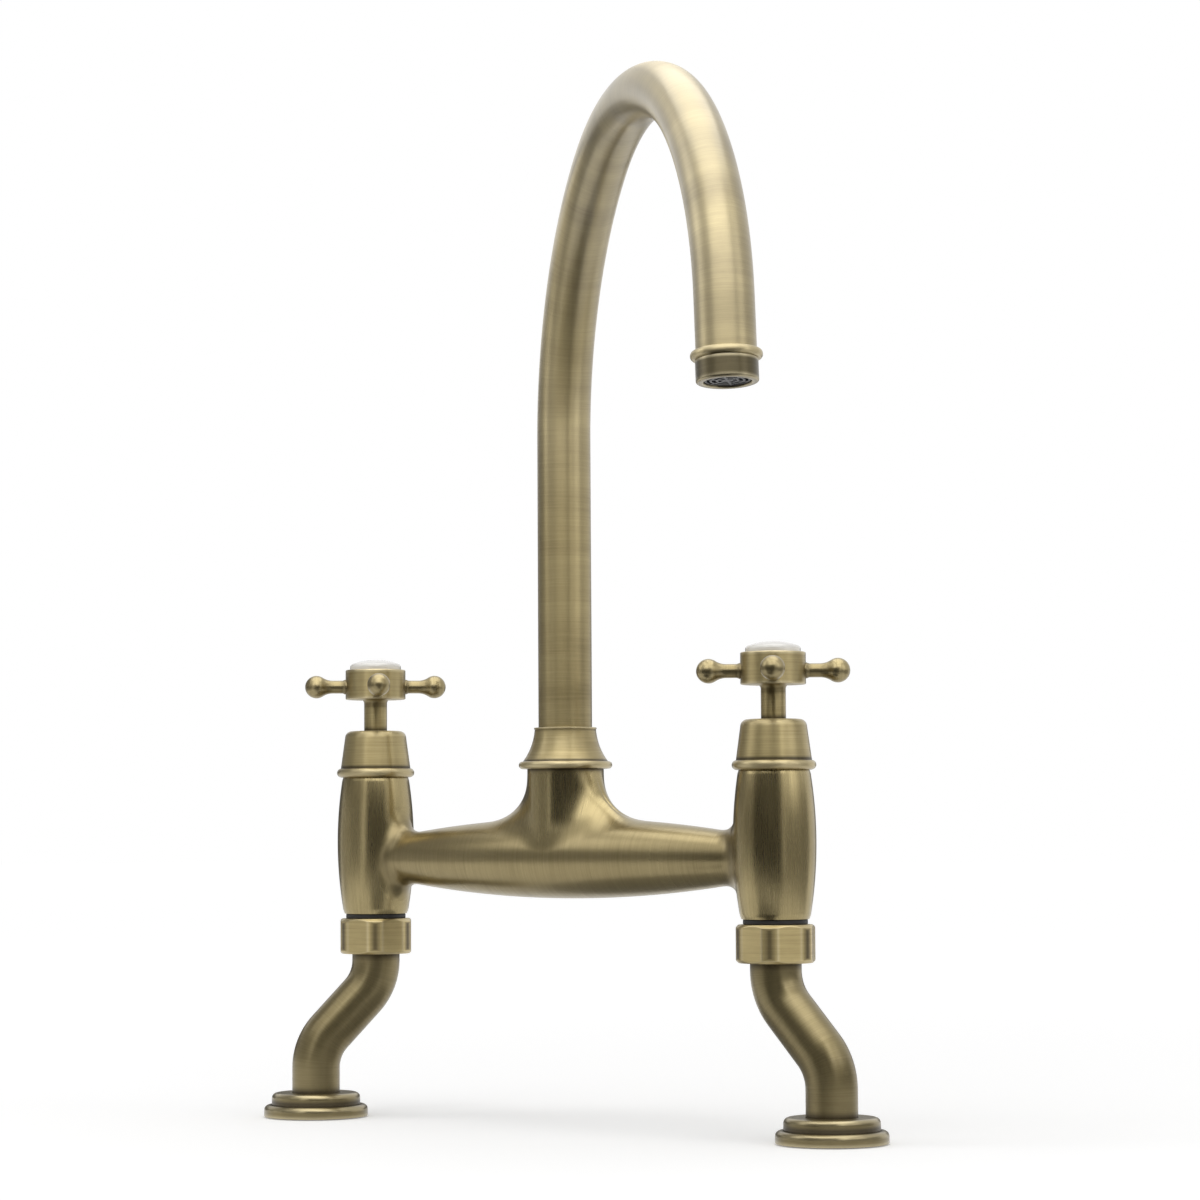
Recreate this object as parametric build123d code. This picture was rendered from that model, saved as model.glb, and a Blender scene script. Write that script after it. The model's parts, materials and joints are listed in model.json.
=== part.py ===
from build123d import *

import os
from math import cos, radians, sin, sqrt

# Bridge kitchen tap on two cranked legs, with a swivelling swan-neck spout and two cross handles.
# The deck is the plane z = 0, and the origin lies on it under the spout's axis.
# X runs along the bridge to the user's right, and -Y faces the user. Millimetres and degrees.
# What belongs to one side is drawn on its own barrel axis, x = y = 0, and then set in its place.

# Layout
BARREL_SPACING = 210.0
NUT_BASE_HEIGHT = 68.4
SPOUT_SWING = 55.7  # from straight ahead towards the user's right
LEG_SWING = {"left": 50.9, "right": 0.0}  # from straight outwards towards the user
NUT_TURN = {"left": 11.0, "right": -3.0}  # of each union nut, from its corners on X
HANDLE_SWING = {"left": 45.3, "right": 35.1}  # of one arm, from straight ahead towards the right

# Clearances, on the radius or between faces
RUNNING_GAP = 0.08
FREE_GAP = 0.3
THREAD_GAP = 0.1
RING_GAP = 0.03
GROOVE_PLAY = 0.15  # at each side of a round ring in its groove

# Deck fixings and feet
DECK_THICKNESS = 30.0
FOOT_DIAMETER = 44.0
FOOT_STEP_HEIGHT = 4.9
FOOT_BOSS_DIAMETER = 37.5
FOOT_BOSS_HEIGHT = 5.0
FOOT_ROUNDING = 2.2
FOOT_SOCKET_FLOOR = 2.0
TAIL_DIAMETER = 20.96
TAIL_LENGTH = 60.0
TAIL_CHAMFER = 1.2
TAIL_GROOVE_WIDTH = 1.5  # run-out between the back nut's thread and the supply's
TAIL_GROOVE_DEPTH = 0.6
TAIL_GROOVE_DROP = 1.0  # below the back nut
GASKET_WIDTH = 6.5
GASKET_THICKNESS = 1.6
GASKET_INSET = 2.6  # from the foot's rim to the gasket
BACK_WASHER_DIAMETER = 38.0
BACK_WASHER_THICKNESS = 2.5
BACK_NUT_FLATS = 30.0
BACK_NUT_HEIGHT = 8.0

# Cranked legs
LEG_DIAMETER = 20.2
LEG_BORE = 14.0
LEG_OFFSET = 25.8
LEG_BEND_RADIUS = 22.0
LEG_SLOPE = 43.0
LEG_NECK = 3.0  # straight run below the union nut
LEG_COLLAR_DIAMETER = 22.3
LEG_COLLAR_THICKNESS = 2.5

# Unions between legs and barrels
NUT_FLATS = 30.0
NUT_CORNERS = 32.4  # across the turned-down corners
NUT_HEIGHT = 14.9
NUT_LIP = 2.0
NUT_CHAMFER_ANGLE = 25.0
NUT_FACE_STEP = 1.0  # of a nut's end face inside its flats
UNION_WASHER_THICKNESS = 1.5
UNION_SEAL_DIAMETER = 25.4
UNION_SEAL_THICKNESS = 2.1
UNION_THREAD_DIAMETER = 22.9

# Valve barrels
BARREL_HEIGHT = 58.2
BARREL_FOOT_DIAMETER = 27.2
BARREL_BELLY_DIAMETER = 32.6
BARREL_TOP_DIAMETER = 28.2
INLET_BORE = 13.0
SEAT_RISE = 15.6  # of the valve seat above the barrel's foot

# Bridge and centre stub
BRIDGE_AXIS_RISE = 23.6  # of the bridge's axis above the barrels' feet
BRIDGE_END_DIAMETER = 14.4  # at the barrels' axes
BRIDGE_BELLY_STEP = 0.7  # of the bridge's belly outside the stub's side
BRIDGE_BORE = 15.0
BRIDGE_FILLET = 10.0
STUB_INSET = 1.8  # of the stub's side inside the collar's base
STUB_RISE = 36.6  # of the collar's seat above the bridge's axis
STUB_FILLET = 23.0
STUB_THREAD_LENGTH = 6.0
SPIGOT_SEAT_RISE = 18.6  # of the spout socket's floor above the bridge's axis

# Valve cartridges
CARTRIDGE_THREAD_DIAMETER = 20.96
CARTRIDGE_THREAD_RELIEF = 3.0
CARTRIDGE_SLEEVE_DIAMETER = 18.4
CARTRIDGE_CHAMBER_DIAMETER = 15.2
CARTRIDGE_FLANGE_DIAMETER = 24.4
CARTRIDGE_FLANGE_HEIGHT = 1.8
CARTRIDGE_HEX_FLATS = 20.0
CARTRIDGE_HEX_HEIGHT = 6.4
CARTRIDGE_NECK_DIAMETER = 14.0
CARTRIDGE_NECK_HEIGHT = 5.2
WINDOW_WIDTH = 8.0
SEAT_SEAL_THICKNESS = 3.0
SEAT_SEAL_BORE = 9.0
SEAT_SEAL_STANDOUT = 1.0
DISC_DIAMETER = 14.8
DISC_THICKNESS = 3.0
DISC_PORT_DIAMETER = 4.4
DISC_PORT_OFFSET = 4.2

# Spindles
SPINDLE_DIAMETER = 8.0
SPINDLE_HEAD_DIAMETER = 14.4
SPINDLE_HEAD_HEIGHT = 5.0
TANG_WIDTH = 3.0
TANG_LENGTH = 9.0
TANG_DEPTH = 1.4
SPLINE_TEETH = 20
SPLINE_DEPTH = 0.45
SPLINE_LENGTH = 13.0
CLIP_DIAMETER = 12.0
CLIP_THICKNESS = 0.8
CLIP_GROOVE_DEPTH = 0.6
CLIP_OPENING = 5.0
SPINDLE_RING_SECTION = 1.6
SPINDLE_RING_DROP = 8.0  # below the cartridge's flange

# Valve covers
COVER_HEIGHT = 19.8
COVER_BEAD_DIAMETER = 33.1
COVER_BEAD_HEIGHT = 3.8
COVER_BASE_DIAMETER = 29.8
COVER_TOP_DIAMETER = 25.4
COVER_ROUNDING = 2.8
COVER_WALL = 2.0

# Cross handles
STEM_SHOWING = 13.6  # between the cover and the hub
STEM_DIAMETER = 9.8
STEM_FILLET = 1.7
STEM_DROP = 4.6  # inside the cover
HUB_DIAMETER = 25.7
HUB_HEIGHT = 12.7
HUB_CHAMFER = 0.4
HUB_WEB = 2.5  # between the spline and the screw pocket
ARM_COUNT = 4
ARM_HEIGHT = 5.4  # of the arms' axis above the hub's base
ARM_ROOT_DIAMETER = 6.3
ARM_NECK_DIAMETER = 5.5
ARM_ROOT_TAPER = 0.8  # length of the taper from root to neck
ARM_BALL_DIAMETER = 9.7
ARM_COVE = 7.8  # radius between neck and ball
ARM_SPAN = 60.4
ARM_TENON_DIAMETER = 4.0
ARM_TENON_LENGTH = 4.6
ARM_SEAT_DEPTH = 0.6  # of the flat cut for each arm in the hub
CAP_DIAMETER = 21.8
CAP_SEAT_DEPTH = 3.0
CAP_DOME = 4.3
CAP_RIM = 1.2
CAP_SHOULDER = 1.5  # rounding between rim and dome
SCREW_DIAMETER = 4.0
SCREW_LENGTH = 10.0
SCREW_HEAD_DIAMETER = 7.6
SCREW_HEAD_HEIGHT = 2.6
SCREW_SLOT_WIDTH = 1.0
SCREW_SLOT_DEPTH = 1.1
SCREW_POCKET_DIAMETER = 9.4

# Spout tube: a riser, three tangent bends and a straight end
TUBE_DIAMETER = 22.0
TUBE_WALL = 1.5
RISER_SHOWING = 118.6  # above the collar
BEND_RADII = (130.5, 88.9, 108.7)
BEND_TURNS = (53.5, 78.9, 42.2)
TUBE_END_RUN = 19.5

# Spout seat: spigot, rings and collar
SPIGOT_STEP = 1.0  # of the spigot's side inside the tube's
SPIGOT_WALL = 3.5
SPIGOT_FLANGE_STEP = 1.1  # of its flange outside the tube's side
SPIGOT_FLANGE_GAP = 0.2  # between the flange and the stub's thread line
SPIGOT_FLANGE_HEIGHT = 2.0
SPIGOT_PLUG_LENGTH = 14.0
SPIGOT_FLOOR_GAP = 2.0
SPOUT_RING_SECTION = 1.8
SPOUT_RING_SPACING = 9.0
SLIP_RING_THICKNESS = 1.2
COLLAR_HEIGHT = 16.9
COLLAR_TOP_WALL = 1.6  # outside the tube's side
COLLAR_MIDDLE_WALL = 1.6  # outside the stub's thread
COLLAR_MIDDLE_HEIGHT = 9.8
COLLAR_BASE_WALL = 5.2  # outside the stub's thread
COLLAR_BEAD_STEP = 1.7
COLLAR_BEAD_HEIGHT = 3.0
COLLAR_LIP = 0.8

# Outlet
FERRULE_BEAD_STEP = 2.05  # outside the tube's side
FERRULE_BEAD_HEIGHT = 3.2
FERRULE_ROUNDING = 1.5
FERRULE_PLUG_LENGTH = 6.0
FERRULE_THREAD_STEP = 1.3  # inside the tube's side
FERRULE_THREAD_LENGTH = 2.8
FERRULE_WALL = 2.0
AERATOR_STEP = 0.35  # outside the tube's side
AERATOR_LENGTH = 8.4
AERATOR_ROUNDING = 0.9
AERATOR_LIP = 1.05  # that holds the insert's flange
AERATOR_WASHER_THICKNESS = 1.2
INSERT_FLANGE_THICKNESS = 1.2
INSERT_GAP = 0.35  # in the aerator's mouth
INSERT_RECESS = 0.7
INSERT_RIB_WIDTH = 0.8
INSERT_RING_DIAMETERS = (12.8, 8.4, 4.0)
INSERT_RIBS = 6
INSERT_PLATE = 0.8
SCREEN_THICKNESS = 0.5
SCREEN_HOLE = 1.3
SCREEN_RINGS = 3
SCREEN_FIRST_RING = 6  # holes in the innermost ring

# Diameters that follow from the spout tube's
spigot_diameter = TUBE_DIAMETER - 2 * SPIGOT_STEP
spigot_bore = spigot_diameter - 2 * SPIGOT_WALL
spigot_flange = TUBE_DIAMETER + 2 * SPIGOT_FLANGE_STEP
stub_thread = spigot_flange + 2 * SPIGOT_FLANGE_GAP
collar_base_diameter = stub_thread + 2 * COLLAR_BASE_WALL
stub_diameter = collar_base_diameter - 2 * STUB_INSET
bridge_belly = stub_diameter + 2 * BRIDGE_BELLY_STEP
ferrule_thread = TUBE_DIAMETER - 2 * FERRULE_THREAD_STEP
ferrule_bore = ferrule_thread - 2 * FERRULE_WALL
aerator_mouth = ferrule_thread - 2 * AERATOR_LIP
insert_diameter = aerator_mouth - 2 * INSERT_GAP

# Heights that follow, from under the deck up
back_washer_base = -DECK_THICKNESS - BACK_WASHER_THICKNESS
back_nut_base = back_washer_base - BACK_NUT_HEIGHT
leg_top = NUT_BASE_HEIGHT + NUT_LIP + LEG_COLLAR_THICKNESS
nut_top = NUT_BASE_HEIGHT + NUT_HEIGHT
barrel_base = nut_top + UNION_SEAL_THICKNESS
barrel_top = barrel_base + BARREL_HEIGHT
seat = barrel_base + SEAT_RISE
bridge_axis = barrel_base + BRIDGE_AXIS_RISE
cover_top = barrel_top + COVER_HEIGHT
hub_base = cover_top + STEM_SHOWING
hub_top = hub_base + HUB_HEIGHT
stem_base = cover_top - STEM_DROP
collar_base = bridge_axis + STUB_RISE
collar_top = collar_base + COLLAR_HEIGHT
stub_top = collar_base + STUB_THREAD_LENGTH
spigot_shoulder = stub_top + SPIGOT_FLANGE_HEIGHT

# Heights inside a valve
sleeve_base = seat + SEAT_SEAL_STANDOUT
fixed_disc_base = seat + SEAT_SEAL_THICKNESS
moving_disc_base = fixed_disc_base + DISC_THICKNESS
head_base = moving_disc_base + DISC_THICKNESS
chamber_top = head_base + SPINDLE_HEAD_HEIGHT
hex_base = barrel_top + CARTRIDGE_FLANGE_HEIGHT
neck_base = hex_base + CARTRIDGE_HEX_HEIGHT
neck_top = neck_base + CARTRIDGE_NECK_HEIGHT
spline_top = stem_base + SPLINE_LENGTH
screw_seat = spline_top + HUB_WEB


# Which point of a block lies at the place it is put
ON_BASE = (Align.CENTER, Align.CENTER, Align.MIN)
UNDER_TOP = (Align.CENTER, Align.CENTER, Align.MAX)


def lathe(*corners):
    """Solid turned about Z from its outline's corners: radius, height and, where rounded, a rounding."""
    points = [corner[:2] for corner in corners]
    roundings = [corner[2] if len(corner) > 2 else 0 for corner in corners]
    outline = FilletPolyline(*points, radius=roundings, close=True)
    return turned(outline)


def turned(*curves):
    """Solid turned about Z from the curves of its closed outline of radius and height."""
    return revolve(Plane.XZ * make_face(Curve() + list(curves)), Axis.Z)


def rod(diameter, base, top):
    """Upright round bar between two heights."""
    return Pos(0, 0, base) * Cylinder(diameter / 2, top - base, align=ON_BASE)


def ring(outer, inner, base, top):
    """Upright flat ring between two heights."""
    return rod(outer, base, top) - rod(inner, base, top)


def round_ring(inner, section, height):
    """Ring of round section that lies at a height, with its bore's diameter."""
    return Pos(0, 0, height) * Torus(inner / 2 + section / 2, section / 2)


def hexagon_bar(flats, base, top):
    """Upright hexagonal bar between two heights."""
    return Pos(0, 0, base) * extrude(RegularPolygon(flats / 2, 6, major_radius=False), top - base)


def chamfer_cone(diameter, flats, base, top, angle):
    """Turned blank that takes the sharp corners off both ends of a hexagon."""
    drop = (diameter - flats) / 2 * sin(radians(angle)) / cos(radians(angle))
    return lathe(
        (0, base),
        (flats / 2, base),
        (diameter / 2, base + drop),
        (diameter / 2, top - drop),
        (flats / 2, top),
        (0, top),
    )


def swept_tube(path, outer, inner):
    """Tube of two diameters along a path."""
    start = Plane(path @ 0, z_dir=path % 0)
    solid = sweep(start * Circle(outer / 2), path=path)
    bore = sweep(start * Circle(inner / 2), path=path)
    return solid - bore


# Casting


def barrel():
    """Outside of one valve barrel, with the threaded end that takes the union nut."""
    foot = (BARREL_FOOT_DIAMETER / 2, barrel_base)
    belly = (BARREL_BELLY_DIAMETER / 2, (barrel_base + barrel_top) / 2)
    top = (BARREL_TOP_DIAMETER / 2, barrel_top)
    side = ThreePointArc(foot, belly, top)
    body = turned(side, Polyline(top, (0, barrel_top), (0, barrel_base), foot))
    return Rot(0, 0, 90) * body


def barrel_waterway():
    """What is bored out of a barrel: the inlet from below and the valve's seat from above."""
    inlet = rod(INLET_BORE, union_end(), seat)
    valve = rod(CARTRIDGE_THREAD_DIAMETER + 2 * THREAD_GAP, seat, barrel_top)
    return inlet + valve


def union_end():
    """Height of the barrel's threaded end, which stands on the union washer."""
    return leg_top + UNION_WASHER_THICKNESS


def bridge_body():
    """One hollow casting: two barrels, the bridge between them and the stub that carries the spout."""
    half = BARREL_SPACING / 2
    end = BRIDGE_END_DIAMETER / 2
    belly = ThreePointArc((-half, -end), (0, -bridge_belly / 2), (half, -end))
    profile = make_face(belly + Polyline((half, -end), (half, 0), (-half, 0), (-half, -end)))
    bridge = Pos(0, 0, bridge_axis) * revolve(Plane.XZ * profile, Axis.X)
    barrels = [Pos(x, 0, 0) * barrel() for x in (-half, half)]
    casting = bridge + barrels
    casting = fillet(new_edges(bridge, *barrels, combined=casting), BRIDGE_FILLET)
    blank_top = stub_top + STUB_FILLET
    stub = Rot(0, 0, 90) * rod(stub_diameter, bridge_axis, blank_top)
    whole = casting + stub
    casting = fillet(new_edges(casting, stub, combined=whole), STUB_FILLET)
    trim = stub_diameter + 2 * STUB_FILLET
    casting -= ring(trim, stub_thread, collar_base, blank_top)
    casting -= rod(trim, stub_top, blank_top)
    socket_floor = bridge_axis + SPIGOT_SEAT_RISE
    casting -= rod(spigot_diameter + 2 * RUNNING_GAP, socket_floor, stub_top)
    casting -= rod(spigot_bore, bridge_axis, socket_floor)
    casting -= Pos(0, 0, bridge_axis) * Rot(0, 90, 0) * Cylinder(BRIDGE_BORE / 2, BARREL_SPACING)
    for x in (-half, half):
        casting += Pos(x, 0, 0) * rod(UNION_THREAD_DIAMETER, union_end(), barrel_base)
        casting -= Pos(x, 0, 0) * barrel_waterway()
    return casting


# Unions


def union_nut():
    """Hexagon nut with turned-down corners, whose lip holds the leg's collar."""
    bar = hexagon_bar(NUT_FLATS, NUT_BASE_HEIGHT, nut_top)
    face = NUT_FLATS - NUT_FACE_STEP
    blank = chamfer_cone(NUT_CORNERS, face, NUT_BASE_HEIGHT, nut_top, NUT_CHAMFER_ANGLE)
    facets = Rot(0, 0, 30) * hexagon_bar(NUT_CORNERS, NUT_BASE_HEIGHT, nut_top)
    thread = rod(UNION_THREAD_DIAMETER + 2 * THREAD_GAP, NUT_BASE_HEIGHT + NUT_LIP, nut_top)
    passage = rod(LEG_DIAMETER + 2 * FREE_GAP, NUT_BASE_HEIGHT, nut_top)
    return (bar & facets & blank) - thread - passage


def union_seal():
    """Black ring that fills the gap between the nut and the barrel's foot."""
    return ring(UNION_SEAL_DIAMETER, UNION_THREAD_DIAMETER + 2 * THREAD_GAP, nut_top, barrel_base)


def union_washer():
    """Washer between the leg's collar and the barrel's threaded end."""
    return ring(LEG_COLLAR_DIAMETER, LEG_BORE, leg_top, union_end())


# Legs and deck fixings, drawn with the leg cranked towards +X


def leg_path():
    """Centre line of a leg from its top: down, out along the slope and down to its socket."""
    turn = radians(LEG_SLOPE)
    bend_out = 2 * LEG_BEND_RADIUS * (1 - cos(turn))
    slope_run = (LEG_OFFSET - bend_out) / sin(turn)
    bend_top = NUT_BASE_HEIGHT - LEG_NECK
    neck = Line((0, leg_top), (0, bend_top))
    upper = JernArc(neck @ 1, (0, -1), LEG_BEND_RADIUS, LEG_SLOPE)
    slope = Line(upper @ 1, upper @ 1 + (upper % 1) * slope_run)
    lower = JernArc(slope @ 1, slope % 1, LEG_BEND_RADIUS, -LEG_SLOPE)
    foot = Line(lower @ 1, (LEG_OFFSET, FOOT_SOCKET_FLOOR))
    return Plane.XZ * Wire([neck, upper, slope, lower, foot])


def leg():
    """Cranked leg with the collar that the union nut holds."""
    collar = ring(LEG_COLLAR_DIAMETER, LEG_BORE, leg_top - LEG_COLLAR_THICKNESS, leg_top)
    return swept_tube(leg_path(), LEG_DIAMETER, LEG_BORE) + collar


def foot():
    """Two-tier foot with the socket for the leg and the threaded tail that goes through the deck."""
    tail = TAIL_DIAMETER / 2
    boss_top = FOOT_STEP_HEIGHT + FOOT_BOSS_HEIGHT
    body = lathe(
        (0, -TAIL_LENGTH),
        (tail - TAIL_CHAMFER, -TAIL_LENGTH),
        (tail, TAIL_CHAMFER - TAIL_LENGTH),
        (tail, 0),
        (FOOT_DIAMETER / 2, 0),
        (FOOT_DIAMETER / 2, FOOT_STEP_HEIGHT, FOOT_ROUNDING),
        (FOOT_BOSS_DIAMETER / 2, FOOT_STEP_HEIGHT),
        (FOOT_BOSS_DIAMETER / 2, boss_top, FOOT_ROUNDING),
        (0, boss_top),
    )
    socket = rod(LEG_DIAMETER + 2 * RING_GAP, FOOT_SOCKET_FLOOR, boss_top)
    bore = rod(LEG_BORE, -TAIL_LENGTH, FOOT_SOCKET_FLOOR)
    rim = FOOT_DIAMETER - 2 * GASKET_INSET
    groove = ring(rim, rim - 2 * GASKET_WIDTH, 0, GASKET_THICKNESS)
    run_out_top = back_nut_base - TAIL_GROOVE_DROP
    run_out = ring(
        TAIL_DIAMETER + TAIL_GROOVE_DEPTH,
        TAIL_DIAMETER - 2 * TAIL_GROOVE_DEPTH,
        run_out_top - TAIL_GROOVE_WIDTH,
        run_out_top,
    )
    return Pos(LEG_OFFSET, 0, 0) * (body - socket - bore - groove - run_out)


def deck_gasket():
    """Flat ring in the foot's underside, flush with the deck."""
    rim = FOOT_DIAMETER - 2 * GASKET_INSET
    inner = rim - 2 * GASKET_WIDTH
    return Pos(LEG_OFFSET, 0, 0) * ring(rim - RING_GAP, inner + RING_GAP, 0, GASKET_THICKNESS)


def back_washer():
    """Washer under the deck."""
    bore = TAIL_DIAMETER + 2 * FREE_GAP
    return Pos(LEG_OFFSET, 0, 0) * ring(BACK_WASHER_DIAMETER, bore, back_washer_base, -DECK_THICKNESS)


def back_nut():
    """Hexagon nut that draws the foot down on the deck."""
    bar = hexagon_bar(BACK_NUT_FLATS, back_nut_base, back_washer_base)
    corners = BACK_NUT_FLATS * 2 / sqrt(3)
    face = BACK_NUT_FLATS - NUT_FACE_STEP
    blank = chamfer_cone(corners, face, back_nut_base, back_washer_base, NUT_CHAMFER_ANGLE)
    thread = rod(TAIL_DIAMETER + 2 * THREAD_GAP, back_nut_base, back_washer_base)
    return Pos(LEG_OFFSET, 0, 0) * ((bar & blank) - thread)


# Valves


def cartridge():
    """Valve body: a windowed sleeve for the discs, the thread, a hexagon and the spindle's neck."""
    thread_base = chamber_top + CARTRIDGE_THREAD_RELIEF
    body = rod(CARTRIDGE_SLEEVE_DIAMETER, sleeve_base, thread_base)
    body += rod(CARTRIDGE_THREAD_DIAMETER, thread_base, barrel_top)
    body += rod(CARTRIDGE_FLANGE_DIAMETER, barrel_top, hex_base)
    body += hexagon_bar(CARTRIDGE_HEX_FLATS, hex_base, neck_base)
    body += rod(CARTRIDGE_NECK_DIAMETER, neck_base, neck_top)
    body -= rod(CARTRIDGE_CHAMBER_DIAMETER, sleeve_base, chamber_top)
    body -= rod(SPINDLE_DIAMETER + 2 * RUNNING_GAP, chamber_top, neck_top)
    window_height = SPINDLE_HEAD_HEIGHT - TANG_DEPTH
    window = Box(CARTRIDGE_SLEEVE_DIAMETER, WINDOW_WIDTH, window_height, align=ON_BASE)
    return body - Pos(0, 0, head_base) * window


def seat_seal():
    """Rubber ring between the casting's seat and the fixed disc."""
    return ring(DISC_DIAMETER, SEAT_SEAL_BORE, seat, fixed_disc_base)


def ported_disc(base):
    """Ceramic disc with two ports, at a height."""
    disc = rod(DISC_DIAMETER, base, base + DISC_THICKNESS)
    for x in (-DISC_PORT_OFFSET, DISC_PORT_OFFSET):
        disc -= Pos(x, 0, 0) * rod(DISC_PORT_DIAMETER, base, base + DISC_THICKNESS)
    return disc


def fixed_disc():
    """Lower disc, held by the cartridge."""
    return ported_disc(fixed_disc_base)


def moving_disc():
    """Upper disc, closed at rest with its ports a quarter turn away, and slotted for the spindle."""
    disc = Rot(0, 0, 90) * ported_disc(moving_disc_base)
    width = TANG_WIDTH + 2 * THREAD_GAP
    length = TANG_LENGTH + 2 * THREAD_GAP
    slot = Box(length, width, TANG_DEPTH, align=UNDER_TOP)
    return disc - Pos(0, 0, head_base) * slot


def spline_bar(diameter, base, top):
    """Upright splined bar between two heights."""
    step = 360 / SPLINE_TEETH
    points = []
    for tooth in range(SPLINE_TEETH):
        for radius, angle in ((diameter / 2, tooth), (diameter / 2 - SPLINE_DEPTH, tooth + 0.5)):
            points.append((radius * cos(radians(step * angle)), radius * sin(radians(step * angle))))
    return Pos(0, 0, base) * extrude(make_face(Polyline(*points, close=True)), top - base)


def ring_height():
    """Height of the spindle's ring inside the cartridge."""
    return barrel_top - SPINDLE_RING_DROP


def ring_groove(diameter, section, height):
    """Square groove for a round ring, cut into a bar of this diameter."""
    floor = diameter - 2 * section
    half = section / 2 + GROOVE_PLAY
    return ring(diameter + section, floor, height - half, height + half)


def spindle():
    """Valve spindle: the head that drives the moving disc, the shaft and the spline for the handle."""
    body = rod(SPINDLE_HEAD_DIAMETER, head_base, chamber_top)
    body += rod(SPINDLE_DIAMETER, chamber_top, stem_base)
    body += spline_bar(SPINDLE_DIAMETER, stem_base, spline_top)
    tang = Box(TANG_LENGTH, TANG_WIDTH, TANG_DEPTH, align=UNDER_TOP)
    body += Pos(0, 0, head_base) * tang
    body -= ring_groove(SPINDLE_DIAMETER, SPINDLE_RING_SECTION, ring_height())
    floor = SPINDLE_DIAMETER - 2 * CLIP_GROOVE_DEPTH
    body -= ring(SPINDLE_HEAD_DIAMETER, floor, neck_top, neck_top + CLIP_THICKNESS)
    return body - rod(SCREW_DIAMETER + 2 * THREAD_GAP, screw_seat - SCREW_LENGTH - THREAD_GAP, spline_top)


def spindle_ring():
    """Rubber ring on the spindle."""
    inner = SPINDLE_DIAMETER - 2 * SPINDLE_RING_SECTION + 2 * RING_GAP
    return round_ring(inner, SPINDLE_RING_SECTION - RING_GAP, ring_height())


def spindle_clip():
    """Open clip in the spindle's groove, which rests on the cartridge's neck."""
    inner = SPINDLE_DIAMETER - 2 * CLIP_GROOVE_DEPTH + 2 * RING_GAP
    clip = ring(CLIP_DIAMETER, inner, neck_top, neck_top + CLIP_THICKNESS)
    mouth = Box(CLIP_DIAMETER, CLIP_OPENING, CLIP_DIAMETER, align=(Align.MIN, Align.CENTER, Align.CENTER))
    return clip - Pos(0, 0, neck_top) * mouth


def valve_cover():
    """Tapered shell over the cartridge, with a bead where it stands on the barrel."""
    base = COVER_BASE_DIAMETER / 2
    top = COVER_TOP_DIAMETER / 2
    hole = STEM_DIAMETER / 2 + FREE_GAP
    bead_top = barrel_top + COVER_BEAD_HEIGHT
    crest = (COVER_BEAD_DIAMETER / 2, barrel_top + COVER_BEAD_HEIGHT / 2)
    bead = ThreePointArc((base, barrel_top), crest, (base, bead_top))
    side = FilletPolyline(bead @ 1, (top, cover_top), (hole, cover_top), radius=COVER_ROUNDING)
    inside = Polyline(
        side @ 1,
        (hole, cover_top - COVER_WALL),
        (top - COVER_WALL, cover_top - COVER_WALL),
        (base - COVER_WALL, barrel_top),
        bead @ 0,
    )
    return turned(bead, side, inside)


# Cross handles, drawn with one arm towards +X


def handle_head():
    """Hub and stem in one piece, splined inside, with seats for the arms and the cap."""
    hub = HUB_DIAMETER / 2
    stem = STEM_DIAMETER / 2
    flare = Line((stem, stem_base), (stem, hub_base - STEM_FILLET))
    cove = JernArc(flare @ 1, (0, 1), STEM_FILLET, -90)
    rest = Polyline(
        cove @ 1,
        (hub - HUB_CHAMFER, hub_base),
        (hub, hub_base + HUB_CHAMFER),
        (hub, hub_top - HUB_CHAMFER),
        (hub - HUB_CHAMFER, hub_top),
        (0, hub_top),
        (0, stem_base),
        (stem, stem_base),
    )
    head = turned(flare, cove, rest)
    head -= spline_bar(SPINDLE_DIAMETER + 2 * THREAD_GAP, stem_base, spline_top)
    head -= rod(SCREW_DIAMETER + 2 * FREE_GAP, spline_top, screw_seat)
    head -= rod(SCREW_POCKET_DIAMETER, screw_seat, hub_top)
    head -= rod(CAP_DIAMETER + 2 * THREAD_GAP, hub_top - CAP_SEAT_DEPTH, hub_top)
    floor = hub - ARM_SEAT_DEPTH
    socket = ARM_TENON_DIAMETER + 2 * RING_GAP
    seat_cut = rod(ARM_ROOT_DIAMETER + 2 * RING_GAP, floor, hub + ARM_SEAT_DEPTH)
    socket_cut = rod(socket, floor - ARM_TENON_LENGTH - RING_GAP, floor)
    for number in range(ARM_COUNT):
        head -= arm_place(number) * (seat_cut + socket_cut)
    return head


def arm_place(number):
    """Turns a piece drawn along Z into the place of an arm of the hub."""
    return Pos(0, 0, hub_base + ARM_HEIGHT) * Rot(0, 0, 360 / ARM_COUNT * number) * Rot(0, 90, 0)


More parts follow.
